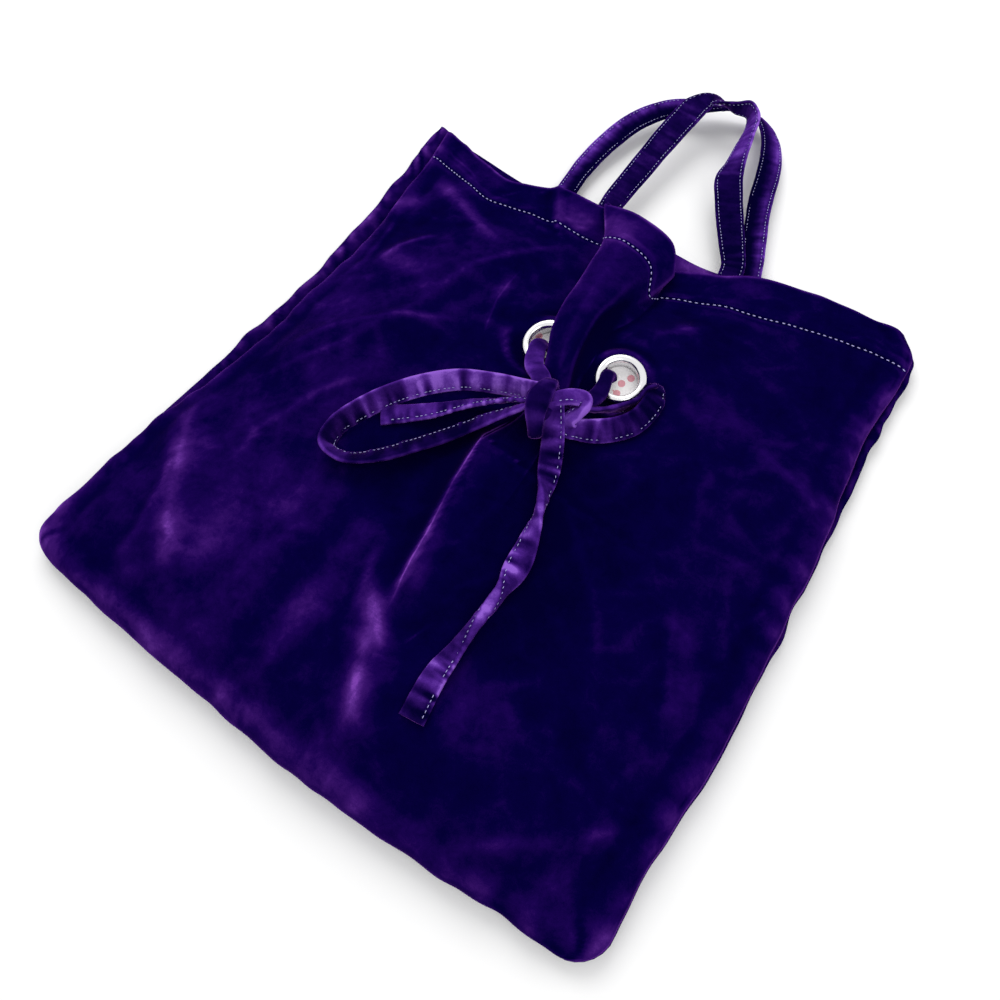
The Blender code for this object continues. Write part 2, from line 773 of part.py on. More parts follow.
def yoke():
    """The stretch of the tie from the knot through one eyelet, across inside and out through the other."""
    middle = knot_centre()
    across = Vector((0, 1, 0))
    legs = {}
    for side, (_, sign) in EYELET_PLACES.items():
        seat, outward = eyelet_frame(side)
        to_knot = middle - seat
        to_knot.z = 0
        to_knot.normalize()
        level = Vector((-to_knot.y, to_knot.x, 0)) * sign
        entry = middle + Vector((sign * KNOT_SIZE[0], KNOT_SIZE[1], 0)) * KNOT_ENTRY
        leg = [(entry, level, ENTRY_WIDTH)]
        for out, up, share in YOKE_LEG:
            over = Vector((0, 0, EYELET_DOME * up))
            leg.append((seat + to_knot * EYELET_OUTER * out + over, level, share))
        inside = seat - outward * EYELET_BORE * YOKE_UNDER
        leg.append((seat - outward * EYELET_BORE * YOKE_DOWN, level, YOKE_LEG[-1][2]))
        leg.append((inside - Vector((sign * EYELET_BORE * YOKE_TUCK, 0, 0)), across, 1.0))
        legs[side] = leg
    under = (legs["left"][-1][0] + legs["right"][-1][0]) / 2 - Vector((0, 0, EYELET_BORE * YOKE_SAG))
    route = [*legs["left"], (under, across, 1.0), *legs["right"][::-1]]
    rows = through([(*p, *d, w) for p, d, w in route], YOKE_STEPS)
    centres = [Vector(row[:3]) for row in rows]
    stations = []
    for row, centre, forward in zip(rows, centres, directions(centres)):
        stations.append((centre, forward, Vector(row[3:6]), TIE_WIDTH * row[6], STRAP_THICK))
    return strap("tie_yoke", stations, TIE_VELVET)


def front_axis():
    """A point of the line that the front handle swings about."""
    height = min(tab_height(x, BAG_HEIGHT) for x in FRONT_FEET)
    return place(0, BAG_HEIGHT - FRONT_AXIS_BACK, height)


def back_axis():
    return place(0, BAG_HEIGHT + BACK_AXIS_OUT, HEM_CLOTH + LAYER_GAP + STRAP_THICK / 2)


def tab_height(x, along):
    """Mid height of a front handle's sewn end, under the lowest part of the hem above it."""
    reach = HANDLE_WIDTH / 2
    edges = [x + reach * k / 2 for k in range(-2, 3)]
    depth = cloth_at(along) + LAYER_GAP
    lowest = min(front_height(e, along) - depth * steepness(e, along) for e in edges)
    return lowest - STRAP_THICK / 2


def tab(name, x, centres, axis):
    """A handle's sewn end, from inside the mouth to its swing line."""
    end = axis + Vector((x, -STRAP_THICK / 2 - LAYER_GAP, 0))
    centres = [*centres, end]
    stations = []
    for centre, forward in zip(centres, directions(centres)):
        stations.append((centre, forward, Vector((1, 0, 0)), HANDLE_WIDTH, STRAP_THICK))
    stations[-1] = (end, Vector((0, 1, 0)), Vector((1, 0, 0)), HANDLE_WIDTH, STRAP_THICK)
    return strap(name, stations, VELVET)


def front_tab(name, x):
    centres = []
    for k in range(TAB_CELLS + 1):
        along = BAG_HEIGHT - TAB_LENGTH * (1 - k / TAB_CELLS)
        centres.append(place(x, along - dip(x, along), tab_height(x, along)))
    return tab(name, x, centres, front_axis())


def back_tab(name, x):
    axis = back_axis()
    return tab(name, x, [axis + Vector((x, -TAB_LENGTH, 0))], axis)


def handle(name, shape, feet, reach, lift, axis):
    """A strap handle that lies beyond the mouth and turns on its edge towards its top."""
    rows = through([(mix(*feet, across), reach * out) for across, out in shape], HANDLE_STEPS)
    centres = [axis + Vector((x, out, lift * smooth(out / reach))) for x, out in rows]
    forwards = directions(centres)
    forwards[0] = Vector((0, 1, 0))
    forwards[-1] = Vector((0, -1, 0))
    stations = []
    for centre, forward in zip(centres, forwards):
        angle = -HANDLE_TURN * smooth((centre.y - axis.y) / reach)
        stations.append((centre, forward, turned_side(forward, angle), HANDLE_WIDTH, STRAP_THICK))
    round_off = []
    for k in (1, 2):
        back = STRAP_THICK / 2 * math.sin(ROUND_STEP * k)
        thick = STRAP_THICK * math.cos(ROUND_STEP * k)
        round_off.append((back, thick))
    for back, thick in round_off:
        start = axis + Vector((feet[0], -back, 0))
        end = axis + Vector((feet[1], -back, 0))
        stations.insert(0, (start, Vector((0, 1, 0)), Vector((1, 0, 0)), HANDLE_WIDTH, thick))
        stations.append((end, Vector((0, -1, 0)), Vector((-1, 0, 0)), HANDLE_WIDTH, thick))
    return strap(name, stations, VELVET, axis)


# Bag
panel = front_panel()
lining = front_lining()
back_panel()
back_lining()
for side in EYELET_PLACES:
    eyelet(side)
    hole = eyelet_hole(side)
    cut(panel, hole)
    cut(lining, hole)

# Handles
handle("front_handle", FRONT_SHAPE, FRONT_FEET, FRONT_REACH, FRONT_LIFT, front_axis())
handle("back_handle", BACK_SHAPE, BACK_FEET, BACK_REACH, BACK_LIFT, back_axis())
for side, front_x, back_x in zip(EYELET_PLACES, FRONT_FEET, BACK_FEET):
    front_tab(f"front_{side}_tab", front_x)
    back_tab(f"back_{side}_tab", back_x)

# Tie
knot("tie_knot", 0.0)
knot_cutter = hidden(knot("knot_cutter", LAYER_GAP))
pieces = [
    yoke(),
    tie("tie_left_loop", LEFT_LOOP, LEFT_LOOP_STEPS, knot_centre()),
    tie("tie_right_loop", RIGHT_LOOP, RIGHT_LOOP_STEPS, knot_centre()),
    tie("tie_left_tail", LEFT_TAIL, LEFT_TAIL_STEPS, knot_centre()),
    tie("tie_right_tail", RIGHT_TAIL, RIGHT_TAIL_STEPS, knot_centre()),
]
for piece in pieces:
    cut(piece, knot_cutter)
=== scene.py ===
# %% [markdown]
# # A velvet drawstring bag
#
# The bag lies on its back. It is two velvet panels with a white lining, a velvet tie through two
# eyelets and two strap handles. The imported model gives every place. This lesson dresses each of its
# solids as cloth, strap, thread or metal, in the same frame and in metres.

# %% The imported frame
import math

import bmesh
import bpy
import numpy as np
from mathutils import Matrix, Vector, noise
from mathutils.bvhtree import BVHTree


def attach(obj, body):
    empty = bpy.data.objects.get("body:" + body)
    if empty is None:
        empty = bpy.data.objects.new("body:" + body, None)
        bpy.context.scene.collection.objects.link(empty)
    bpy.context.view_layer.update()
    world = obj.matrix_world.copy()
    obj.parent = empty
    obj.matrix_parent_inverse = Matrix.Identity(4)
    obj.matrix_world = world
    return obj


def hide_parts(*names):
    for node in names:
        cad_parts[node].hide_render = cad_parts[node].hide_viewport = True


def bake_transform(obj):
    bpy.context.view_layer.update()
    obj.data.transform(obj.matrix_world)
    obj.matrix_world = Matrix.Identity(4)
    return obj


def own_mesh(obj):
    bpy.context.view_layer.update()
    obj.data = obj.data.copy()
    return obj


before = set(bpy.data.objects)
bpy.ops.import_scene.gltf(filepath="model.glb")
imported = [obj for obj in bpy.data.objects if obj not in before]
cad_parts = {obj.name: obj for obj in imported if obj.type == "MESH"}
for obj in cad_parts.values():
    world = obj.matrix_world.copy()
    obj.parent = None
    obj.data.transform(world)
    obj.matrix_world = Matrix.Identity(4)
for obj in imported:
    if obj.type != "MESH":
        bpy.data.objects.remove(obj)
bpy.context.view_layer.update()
scene = bpy.context.scene

# %% [markdown]
# ## Camera
#
# The bag is seen from its lower right corner, from above and close by, so its near corner looks large.
# The three directions of the camera are written down as they were measured, which is surer than aiming
# it at a point and rolling it by eye.

# %% Camera
camera = bpy.data.objects.new("camera", bpy.data.cameras.new("camera"))
scene.collection.objects.link(camera)
scene.camera = camera
camera.data.sensor_width = 36.0
camera.data.lens = 29.05
camera_right = Vector((0.83127, 0.55349, -0.05138))
camera_up = Vector((-0.47554, 0.75596, 0.44988))
camera_back = camera_right.cross(camera_up)
camera.matrix_world = Matrix((camera_right, camera_up, camera_back)).transposed().to_4x4()
camera.location = (0.12394, -0.20168, 0.33591)
camera.data.clip_start = 0.01
print("camera lens", round(camera.data.lens, 2), "mm")

# %% [markdown]
# ## Helpers for soft shapes
#
# A panel of cloth could be pushed about by hand, but a script that can be changed later is better
# served by tables: a few rows of measured places, and a smooth curve through them. The helpers here
# are an S-shaped step, that curve, and a soft noise for the small waves that no table holds.


# %% Smooth steps, curves and noise
def ramp(t):
    """Zero to one with flat ends."""
    t = np.clip(t, 0.0, 1.0)
    return t * t * (3 - 2 * t)


def curve(rows, at):
    """Reads a table at the given places along a smooth curve through its rows."""
    rows = np.array(rows, float)
    knots, values = rows[:, 0], rows[:, 1:]
    slopes = np.gradient(values, knots, axis=0)
    at = np.asarray(at, float)
    k = np.clip(np.searchsorted(knots, at) - 1, 0, len(knots) - 2)
    span = knots[k + 1] - knots[k]
    t = np.clip((at - knots[k]) / span, 0.0, 1.0)[..., None]
    span = span[..., None]
    rise = (1 + 2 * t) * (1 - t) ** 2 * values[k] + t**2 * (3 - 2 * t) * values[k + 1]
    bend = t * (1 - t) ** 2 * slopes[k] - t**2 * (1 - t) * slopes[k + 1]
    return rise + bend * span


def ripple(points, size, seed):
    """Soft noise between about -1 and 1 at an array of points, with bumps of the given size."""
    flat = np.asarray(points, float).reshape(-1, np.shape(points)[-1]) / size
    values = [noise.noise(Vector((*p, seed)[:3]) + Vector((seed, -seed, 0))) for p in flat]
    return np.array(values).reshape(np.shape(points)[:-1])


def wave(at, size, seed):
    """The same soft noise along a line."""
    return ripple(np.stack([at, 0 * at], axis=-1), size, seed)


print("the step is", ramp(0.25), "high a quarter of the way along")

# %% [markdown]
# ## Outline of the bag
#
# The bag was sewn as a rectangle, but it lies a little skewed: the sides sway, the bottom bows out
# and the tie pulls the front's mouth down. Tables hold those edges. The front's side seams lie inside
# the back's in the upper half, where the back shows past them.

# %% Outline tables
HEIGHT = 0.321
MIDDLE = 0.21135
CENTRE = 0.00091
HEM = 0.024
CORNER = 0.014

# Along the bag, left edge, right edge
BACK_SIDES = (
    (0.000, -0.1545, 0.1505),
    (0.014, -0.1550, 0.1507),
    (0.027, -0.1538, 0.1500),
    (0.052, -0.1520, 0.1506),
    (0.088, -0.1511, 0.1535),
    (0.118, -0.1485, 0.1530),
    (0.165, -0.1462, 0.1520),
    (0.202, -0.1442, 0.1518),
    (0.243, -0.1444, 0.1497),
    (0.279, -0.1480, 0.1492),
    (0.303, -0.1502, 0.1492),
    (0.313, -0.1510, 0.1470),
    (0.321, -0.1516, 0.1395),
)
FRONT_SIDES = (
    (0.000, -0.1540, 0.1500),
    (0.014, -0.1545, 0.1503),
    (0.027, -0.1530, 0.1497),
    (0.052, -0.1512, 0.1502),
    (0.088, -0.1470, 0.1528),
    (0.115, -0.1405, 0.1524),
    (0.140, -0.1362, 0.1518),
    (0.196, -0.1332, 0.1500),
    (0.238, -0.1322, 0.1462),
    (0.271, -0.1362, 0.1450),
    (0.286, -0.1383, 0.1468),
    (0.303, -0.1407, 0.1468),
    (0.313, -0.1425, 0.1458),
    (0.321, -0.1440, 0.1385),
)
# Across the bag, how far the bottom edge bows out
BOTTOM = (
    (-0.155, -0.0060),
    (-0.131, -0.0028),
    (-0.101, 0.0000),
    (-0.074, 0.0019),
    (-0.037, 0.0037),
    (-0.002, 0.0057),
    (0.025, 0.0065),
    (0.059, 0.0055),
    (0.087, 0.0042),
    (0.111, 0.0022),
    (0.137, 0.0014),
    (0.155, -0.0005),
)
# Across the bag, how far the front's mouth edge is drawn down, left and right of the ridge
MOUTH_LEFT = (
    (-0.155, -0.006),
    (-0.134, -0.001),
    (-0.105, 0.011),
    (-0.085, 0.016),
    (-0.074, 0.013),
    (-0.058, 0.009),
    (-0.038, 0.008),
    (-0.028, 0.009),
    (0.030, 0.009),
)
MOUTH_RIGHT = (
    (0.000, 0.030),
    (0.0225, 0.030),
    (0.035, 0.024),
    (0.046, 0.019),
    (0.058, 0.0110),
    (0.085, 0.0054),
    (0.101, 0.0032),
    (0.119, 0.0020),
    (0.130, 0.0010),
    (0.140, 0.0014),
    (0.150, 0.0040),
)
# Across the bag, how far the front's hem line lies nearer to the mouth than its usual width
HEM_SHIFT = (
    (-0.155, 0.004),
    (-0.125, 0.005),
    (-0.105, 0.005),
    (-0.085, 0.003),
    (-0.060, 0.000),
    (0.024, 0.001),
    (0.051, -0.001),
    (0.063, -0.004),
    (0.088, -0.002),
    (0.115, 0.002),
    (0.150, 0.004),
)
# How far the sewn edges waver, and how far below the mouth its edge starts to be drawn down
EDGE_WAVER = 0.0009
DRAWN_REACH = 0.095


def place(x, along, z):
    """Points of the part from the place across, the distance from the bottom corners and the height."""
    return np.stack([x - CENTRE, along - MIDDLE, z], axis=-1)


def sides(rows, along):
    """Left and right edge of a panel, with rounded bottom corners."""
    edges = curve(rows, along)
    low = np.clip(along, 0.0, CORNER)
    drawn = CORNER - np.sqrt(CORNER**2 - (CORNER - low) ** 2)
    drawn = drawn + EDGE_WAVER * wave(along, 0.012, 2.6)
    return edges[..., 0] + drawn, edges[..., 1] - drawn


def along_edge(x, along, drawn):
    """Where a point of a panel lies along the bag, once its bottom has bowed and its mouth is drawn."""
    bow = curve(BOTTOM, x)[..., 0] + EDGE_WAVER * wave(x, 0.013, 1.9)
    bowed = bow * (1 - along / HEIGHT) ** 3
    return along - bowed - drawn * ramp((along - HEIGHT + DRAWN_REACH) / DRAWN_REACH)


print("bag", BACK_SIDES[0][2] - BACK_SIDES[0][1], "m across its bottom")

# %% [markdown]
# ## Front panel
#
# The front is one sheet of velvet. It swells over the hollow inside, and the tie gathers its middle
# into a ridge that flops to the left over one eyelet. A plain height field can't hang over, so the
# columns of the grid are dealt in three blocks: left of the ridge, the ridge itself and right of it.
# The ridge's columns run round a section that may lean as far as it likes.

# %% Ridge and folds as tables
# Along the bag: left foot, leftmost point, crest, rightmost point, right foot, height
RIDGE = (
    (0.000, -0.030, -0.012, 0.012, 0.038, 0.060, 0.0000),
    (0.100, -0.020, -0.006, 0.012, 0.032, 0.050, 0.0000),
    (0.150, -0.004, 0.005, 0.017, 0.031, 0.042, 0.0012),
    (0.176, 0.008, 0.011, 0.019, 0.0270, 0.0320, 0.0040),
    (0.190, 0.011, 0.008, 0.017, 0.0235, 0.0265, 0.0075),
    (0.204, 0.0112, 0.003, 0.011, 0.0190, 0.0230, 0.0105),
    (0.216, 0.0108, -0.0025, 0.007, 0.0165, 0.0225, 0.0120),
    (0.234, 0.0030, -0.0065, 0.004, 0.0150, 0.0200, 0.0150),
    (0.251, -0.0020, -0.0078, 0.003, 0.0170, 0.0240, 0.0160),
    (0.271, -0.0050, -0.0100, 0.002, 0.0190, 0.0258, 0.0168),
    (0.299, -0.0120, -0.0140, 0.000, 0.0235, 0.0258, 0.0168),
    (0.321, -0.0280, -0.0250, -0.003, 0.0275, 0.0225, 0.0155),
)
# Round the ridge's section from the left foot to the right one: share of the way, and of the height
RIDGE_STEPS = (0.0, 0.14, 0.29, 0.5, 0.68, 0.84, 1.0)
RIDGE_SHARES = (0.0, 0.34, 0.66, 1.0, 0.84, 0.46, 0.0)
# Round the ridge's section, how far its mouth edge is drawn down
RIDGE_MOUTH = ((0.0, 0.009), (0.29, 0.015), (0.5, 0.018), (0.68, 0.024), (0.84, 0.037), (1.0, 0.030))
# Centre and outward direction of each eyelet, and the radius of the flat seat round it
EYELETS = {
    "left": (Vector((-0.00401, 0.00241, 0.02401)), Vector((-0.11924, -0.20643, 0.97117))),
    "right": (Vector((0.03599, 0.00244, 0.02398)), Vector((0.11924, -0.20643, 0.97117))),
}
SEAT = 0.0133
# Height, width to the left, width to the right, roundness, then places across and along the crest
FOLDS = (
    (0.0070, 0.0045, 0.026, 1.1,
     ((0.012, 0.178), (0.003, 0.152), (0.0054, 0.126), (0.0098, 0.102), (0.0126, 0.080), (0.015, 0.064))),
    (0.0038, 0.0080, 0.014, 1.8,
     ((-0.002, 0.080), (0.0113, 0.062), (0.020, 0.048), (0.026, 0.030), (0.031, 0.010))),
    (0.0024, 0.0100, 0.013, 2.0,
     ((-0.018, 0.104), (-0.0145, 0.088), (-0.0148, 0.062), (-0.014, 0.036), (-0.010, 0.008))),
    (0.0036, 0.0200, 0.010, 1.2,
     ((-0.025, 0.292), (-0.044, 0.268), (-0.0616, 0.239), (-0.0716, 0.194), (-0.085, 0.161),
      (-0.102, 0.140), (-0.122, 0.114))),
    (0.0030, 0.0100, 0.014, 1.4,
     ((0.058, 0.276), (0.047, 0.262), (0.040, 0.251), (0.034, 0.237), (0.028, 0.226))),
    (0.0020, 0.0080, 0.014, 1.4,
     ((-0.062, 0.261), (-0.082, 0.275), (-0.100, 0.284), (-0.124, 0.291))),
    (0.0026, 0.0100, 0.010, 1.4, ((0.100, 0.216), (0.129, 0.208), (0.149, 0.200))),
    (0.0030, 0.0140, 0.010, 1.5,
     ((0.146, 0.055), (0.127, 0.040), (0.110, 0.026), (0.092, 0.014), (0.070, 0.003))),
    (0.0022, 0.0100, 0.012, 1.5,
     ((-0.134, 0.110), (-0.126, 0.092), (-0.103, 0.060), (-0.084, 0.036), (-0.076, 0.020))),
    (0.0016, 0.0060, 0.020, 1.4, ((0.045, 0.152), (0.068, 0.128), (0.088, 0.108), (0.104, 0.080))),
    (0.0012, 0.0050, 0.012, 1.4, ((0.108, 0.136), (0.116, 0.116), (0.126, 0.096), (0.132, 0.078))),
    (0.0024, 0.0070, 0.010, 1.3, ((-0.040, 0.206), (-0.070, 0.190), (-0.098, 0.166), (-0.118, 0.136))),
    (0.0009, 0.0060, 0.009, 1.4, ((-0.033, 0.094), (-0.040, 0.075), (-0.050, 0.050), (-0.048, 0.026))),
    (0.0012, 0.0080, 0.010, 1.5, ((0.080, 0.262), (0.104, 0.246), (0.128, 0.242), (0.146, 0.232))),
    (0.0009, 0.0040, 0.0016, 1.2, ((-0.0414, 0.252), (-0.0389, 0.224), (-0.0315, 0.200))),
    (0.0014, 0.0050, 0.003, 1.2, ((-0.128, 0.262), (-0.121, 0.240), (-0.117, 0.214), (-0.122, 0.192))),
    (0.0012, 0.0030, 0.006, 1.2, ((-0.092, 0.252), (-0.106, 0.232), (-0.110, 0.210))),
    (0.0012, 0.0060, 0.003, 1.2, ((-0.060, 0.160), (-0.078, 0.134), (-0.090, 0.104), (-0.088, 0.080))),
    (0.0014, 0.0040, 0.007, 1.2, ((-0.120, 0.076), (-0.108, 0.058), (-0.102, 0.036), (-0.104, 0.016))),
    (0.0007, 0.0060, 0.006, 1.4, ((0.066, 0.070), (0.084, 0.056), (0.108, 0.050), (0.134, 0.052))),
    (0.0006, 0.0050, 0.008, 1.4, ((0.118, 0.168), (0.126, 0.146), (0.138, 0.120), (0.142, 0.094))),
    (0.0006, 0.0050, 0.006, 1.4, ((0.060, 0.226), (0.078, 0.212), (0.094, 0.190), (0.102, 0.166))),
    (0.0030, 0.0016, 0.014, 1.1,
     ((-0.075, 0.352), (-0.060, 0.324), (-0.0526, 0.310), (-0.0455, 0.297), (-0.036, 0.284))),
)
print(len(FOLDS), "folds, ridge up to", max(row[-1] for row in RIDGE), "m high")

# %% [markdown]
# ## Folds
#
# A fold of cloth is a crest with a steep side and a slack side. It could be sculpted, but here it is a
# short line of places across and along the bag: the height falls off with the distance from that line
# and runs out at its two ends, so any fold can be moved or softened later by one row of the table.


# %% Fold heights
def from_crest(x, along, points):
    """Distance from a fold's crest, above zero on its left, and the share of the way along it."""
    best = np.full(np.shape(x), 1.0)
    share = np.zeros(np.shape(x))
    sign = np.ones(np.shape(x))
    count = len(points) - 1
    for i in range(count):
        (x0, a0), (x1, a1) = points[i], points[i + 1]
        dx, da = x1 - x0, a1 - a0
        t = np.clip(((x - x0) * dx + (along - a0) * da) / (dx * dx + da * da), 0, 1)
        off_x, off_a = x - x0 - t * dx, along - a0 - t * da
        away = np.hypot(off_x, off_a)
        nearer = away < best
        best = np.where(nearer, away, best)
        share = np.where(nearer, (i + t) / count, share)
        sign = np.where(nearer, np.sign(off_x * da - off_a * dx), sign)
    return best * sign, share


def fold_heights(x, along):
    """Sum of the folds at points across and along the bag."""
    total = np.zeros(np.shape(x))
    for height, left, right, roundness, points in FOLDS:
        away, share = from_crest(x, along, points)
        width = np.where(away > 0, left, right)
        ends = ramp(share / 0.25) * ramp((1 - share) / 0.3)
        total += height * ends * np.exp(-np.abs(away / width) ** roundness)
    return total


print("folds at the middle of the front:", round(float(fold_heights(0.0, HEIGHT / 2)), 5), "m")

# %% [markdown]
# ## Ridge
#
# The gathered ridge is a section that changes along the bag. Its columns run round that section while
# the columns beside it stay flat. The lining uses the same section with some slack: lower, and leaning
# less, so it stays inside the velvet.

# %% Columns across the front
# How fast an eyelet's flat seat runs out, and how much less the lining leans than the velvet
SEAT_RUN_OUT = 0.007
LINING_LEAN = 1.8


def seat_share(x, along, side):
    """One on an eyelet's flat seat and zero away from it."""
    centre, _ = EYELETS[side]
    away = np.hypot(x - centre.x - CENTRE, along - centre.y - MIDDLE)
    return 1 - ramp((away - SEAT) / SEAT_RUN_OUT)


def front_columns(rows, blocks, slack, inset):
    """Places across, ridge heights, hold of the ridge, mouth draw, middles and half-widths of rows."""
    left, right = sides(FRONT_SIDES, rows)
    foot_l, lean_l, crest, lean_r, foot_r, height = curve(RIDGE, rows).T
    height = np.maximum(height, 0) * (1 - slack)
    lean_l = lean_l + slack * LINING_LEAN * (crest - lean_l)
    lean_r = lean_r + slack * LINING_LEAN * (crest - lean_r)
    flank_l = foot_l + (lean_l - foot_l) * 0.7
    flank_r = crest + (lean_r - crest) * 0.72
    section_x = np.array([foot_l, flank_l, lean_l, crest, flank_r, lean_r, foot_r])
    section_z = np.array([height * share for share in RIDGE_SHARES])
    steps = np.array(RIDGE_STEPS)[:, None]
    t_left = np.linspace(0, 1, blocks[0], endpoint=False)
    t_left = 0.5 * t_left + 0.5 * (1 - np.cos(np.pi / 2 * t_left))
    t_mid = np.linspace(0, 1, blocks[1], endpoint=False)
    t_right = np.linspace(0, 1, blocks[2])
    t_right = 0.5 * t_right + 0.5 * np.sin(np.pi / 2 * t_right)
    x_left = (left + inset)[:, None] + (foot_l - left - inset)[:, None] * t_left
    x_mid = curve(np.hstack([steps, section_x]), t_mid).T
    x_right = foot_r[:, None] + (right - inset - foot_r)[:, None] * t_right
    z_mid = np.maximum(curve(np.hstack([steps, section_z]), t_mid).T, 0)
    inside = np.tile(ramp(np.minimum(t_mid, 1 - t_mid) / RIDGE_STEPS[1]), (len(rows), 1))
    held = inside * ramp(height / 0.006)[:, None]
    drawn = np.tile(curve(RIDGE_MOUTH, t_mid)[:, 0], (len(rows), 1))
    x = np.hstack([x_left, x_mid, x_right])
    ridge = np.hstack([0 * x_left, z_mid, 0 * x_right])
    hold = np.hstack([0 * x_left, held, 0 * x_right])
    mouth = np.hstack([curve(MOUTH_LEFT, x_left)[..., 0], drawn, curve(MOUTH_RIGHT, x_right)[..., 0]])
    return x, ridge, hold, mouth, (left + right)[:, None] / 2, (right - left)[:, None] / 2


print("ridge of", len(RIDGE), "sections")

# %% [markdown]
# ## Rumples
#
# Between its folds velvet is never smooth. Noise of several sizes stands for that: broad waves, waves
# with a crease where the noise crosses zero, spokes out from the knot, and short puckers that the seams
# pull into the sides and the bottom.

# %% Rumples
# Height, size and seed of each set of waves
WAVES = ((0.0015, 0.055, 3.7), (0.0009, 0.024, 8.1), (0.00035, 0.011, 21.7))
CREASED_WAVES = ((0.0011, 0.045, 12.9), (0.0008, 0.020, 15.3))
# Where the knot gathers the cloth, across and along the bag
GATHER = (0.015, 0.190)
SPOKE_HEIGHT = 0.0018
PUCKER_HEIGHT = 0.0021


def puckers(flat, squeeze, size, seed, gap, reach):
    """Short waves at right angles to a seam, which die away from it."""
    return ripple(flat * np.array(squeeze), size, seed) * np.exp(-gap / reach) * ramp(gap / 0.002)


def rumples(x, along, edge, side_gap):
    """Small soft waves of the cloth: all over, out from the knot, and short ones along the seams."""
    flat = np.stack([x, along], axis=-1)
    away = np.hypot(x - GATHER[0], along - GATHER[1])
    angle = np.arctan2(along - GATHER[1], x - GATHER[0])
    spokes = np.stack([np.cos(angle) * 3.2, np.sin(angle) * 3.2, away / 0.12], axis=-1)
    waves = sum(height * ripple(flat, size, seed) for height, size, seed in WAVES)
    waves += sum(height * (0.5 - np.abs(ripple(flat, size, seed))) for height, size, seed in CREASED_WAVES)
    waves += SPOKE_HEIGHT * ripple(spokes, 1.0, 5.3) * np.exp(-away / 0.08) * ramp(away / 0.03)
    by_side = puckers(flat, (0.25, 1), 0.010, 2.2, side_gap, 0.010)
    by_bottom = puckers(flat, (1, 0.25), 0.012, 6.4, along, 0.012)
    return waves * ramp(edge / 0.020) + PUCKER_HEIGHT * (by_side + by_bottom)


print(len(WAVES) + len(CREASED_WAVES), "sets of waves")

# %% [markdown]
# ## Front panel, laid
#
# Now the front is put together: a cushion-like swell that is lower at the mouth, folds and rumples on
# it, flat seats where the eyelets clamp the cloth, the ridge, and a small step and groove at the hem.

# %% Front panel's points
# Heights of the seam, of its upturn and of the swell, in the middle of the bag and at its mouth
SEAM_HEIGHT = 0.0026
UPTURN = 0.004
UPTURN_REACH = 0.016
SWELL = 0.024
MOUTH_SWELL = 0.011
MOUTH_REACH = 0.150
BOTTOM_REACH = 0.055
HEM_STEP = 0.0004
HEM_GROOVE = 0.0002


def front_grid(rows, blocks, slack=0.0, inset=0.0):
    """Points of the front panel for rows along the bag, with so many columns in each of its blocks."""
    rows = np.asarray(rows, float)
    x, ridge, hold, mouth, middle, half = front_columns(rows, blocks, slack, inset)
    along = np.tile(rows[:, None], (1, x.shape[1]))
    share = np.clip(np.abs(x - middle) / half, 0, 1)
    side_gap = half * (1 - share)
    edge = np.minimum(side_gap, along)
    swell = SWELL + (MOUTH_SWELL - SWELL) * ramp((along - HEIGHT + MOUTH_REACH) / MOUTH_REACH)
    end = np.clip(along / BOTTOM_REACH, 0, 1)
    crown = np.sqrt(1 - share**4) * np.sqrt(1 - (1 - end) ** 2)
    z = SEAM_HEIGHT + UPTURN * (1 - ramp(edge / UPTURN_REACH)) + swell * crown
    seats = {side: seat_share(x, along, side) for side in EYELETS}
    free = (1 - slack) * (1 - np.maximum(seats["left"], seats["right"])) * (1 - 0.85 * hold)
    z = z + free * (ramp(edge / 0.020) * fold_heights(x, along) + rumples(x, along, edge, side_gap))
    for side, (centre, outward) in EYELETS.items():
        tilt = outward.x * (x - CENTRE - centre.x) + outward.y * (along - MIDDLE - centre.y)
        z = z + (centre.z - tilt / outward.z - z) * seats[side] * (1 - hold)
    hem = along - (HEIGHT - HEM)
    step = HEM_STEP * ramp(hem / 0.006) * ramp(edge / 0.006)
    groove = HEM_GROOVE * np.exp(-((hem / 0.0012) ** 2)) * ramp(edge / 0.004)
    z = z + ridge + (1 - slack) * (step - groove)
    shift = curve(HEM_SHIFT, x)[..., 0] * np.exp(-((hem / 0.012) ** 2))
    return place(x, along_edge(x, along + shift, mouth), z)


def rows_along(bottom, middle, hem):
    """Distances from the bottom edge for a panel's rows: close at the bottom, even, and close at the hem."""
    turn = np.linspace(0, 1, bottom, endpoint=False)
    return np.concatenate([
        0.040 * (1 - np.cos(np.pi / 2 * turn)),
        np.linspace(0.040, 0.290, middle, endpoint=False),
        np.linspace(0.290, HEIGHT, hem),
    ])


FRONT_BLOCKS = (64, 62, 64)
front_rows = rows_along(24, 146, 32)
front_points = front_grid(front_rows, FRONT_BLOCKS)
print("front panel", front_points.shape[:2], "points, highest", round(front_points[..., 2].max(), 4))

# %% [markdown]
# ## Turned hem
#
# The mouth has a turned hem: the velvet goes over the edge and 24 mm back down inside. So the rows of
# the grid go on past the edge, round a small fold, and come back under the outer face.


# %% Turned hem
def normals(points):
    """Upward directions of a grid of points."""
    across = np.gradient(points, axis=1)
    upward = np.gradient(points, axis=0)
    found = np.cross(across, upward)
    return found / np.maximum(np.linalg.norm(found, axis=-1, keepdims=True), 1e-9)


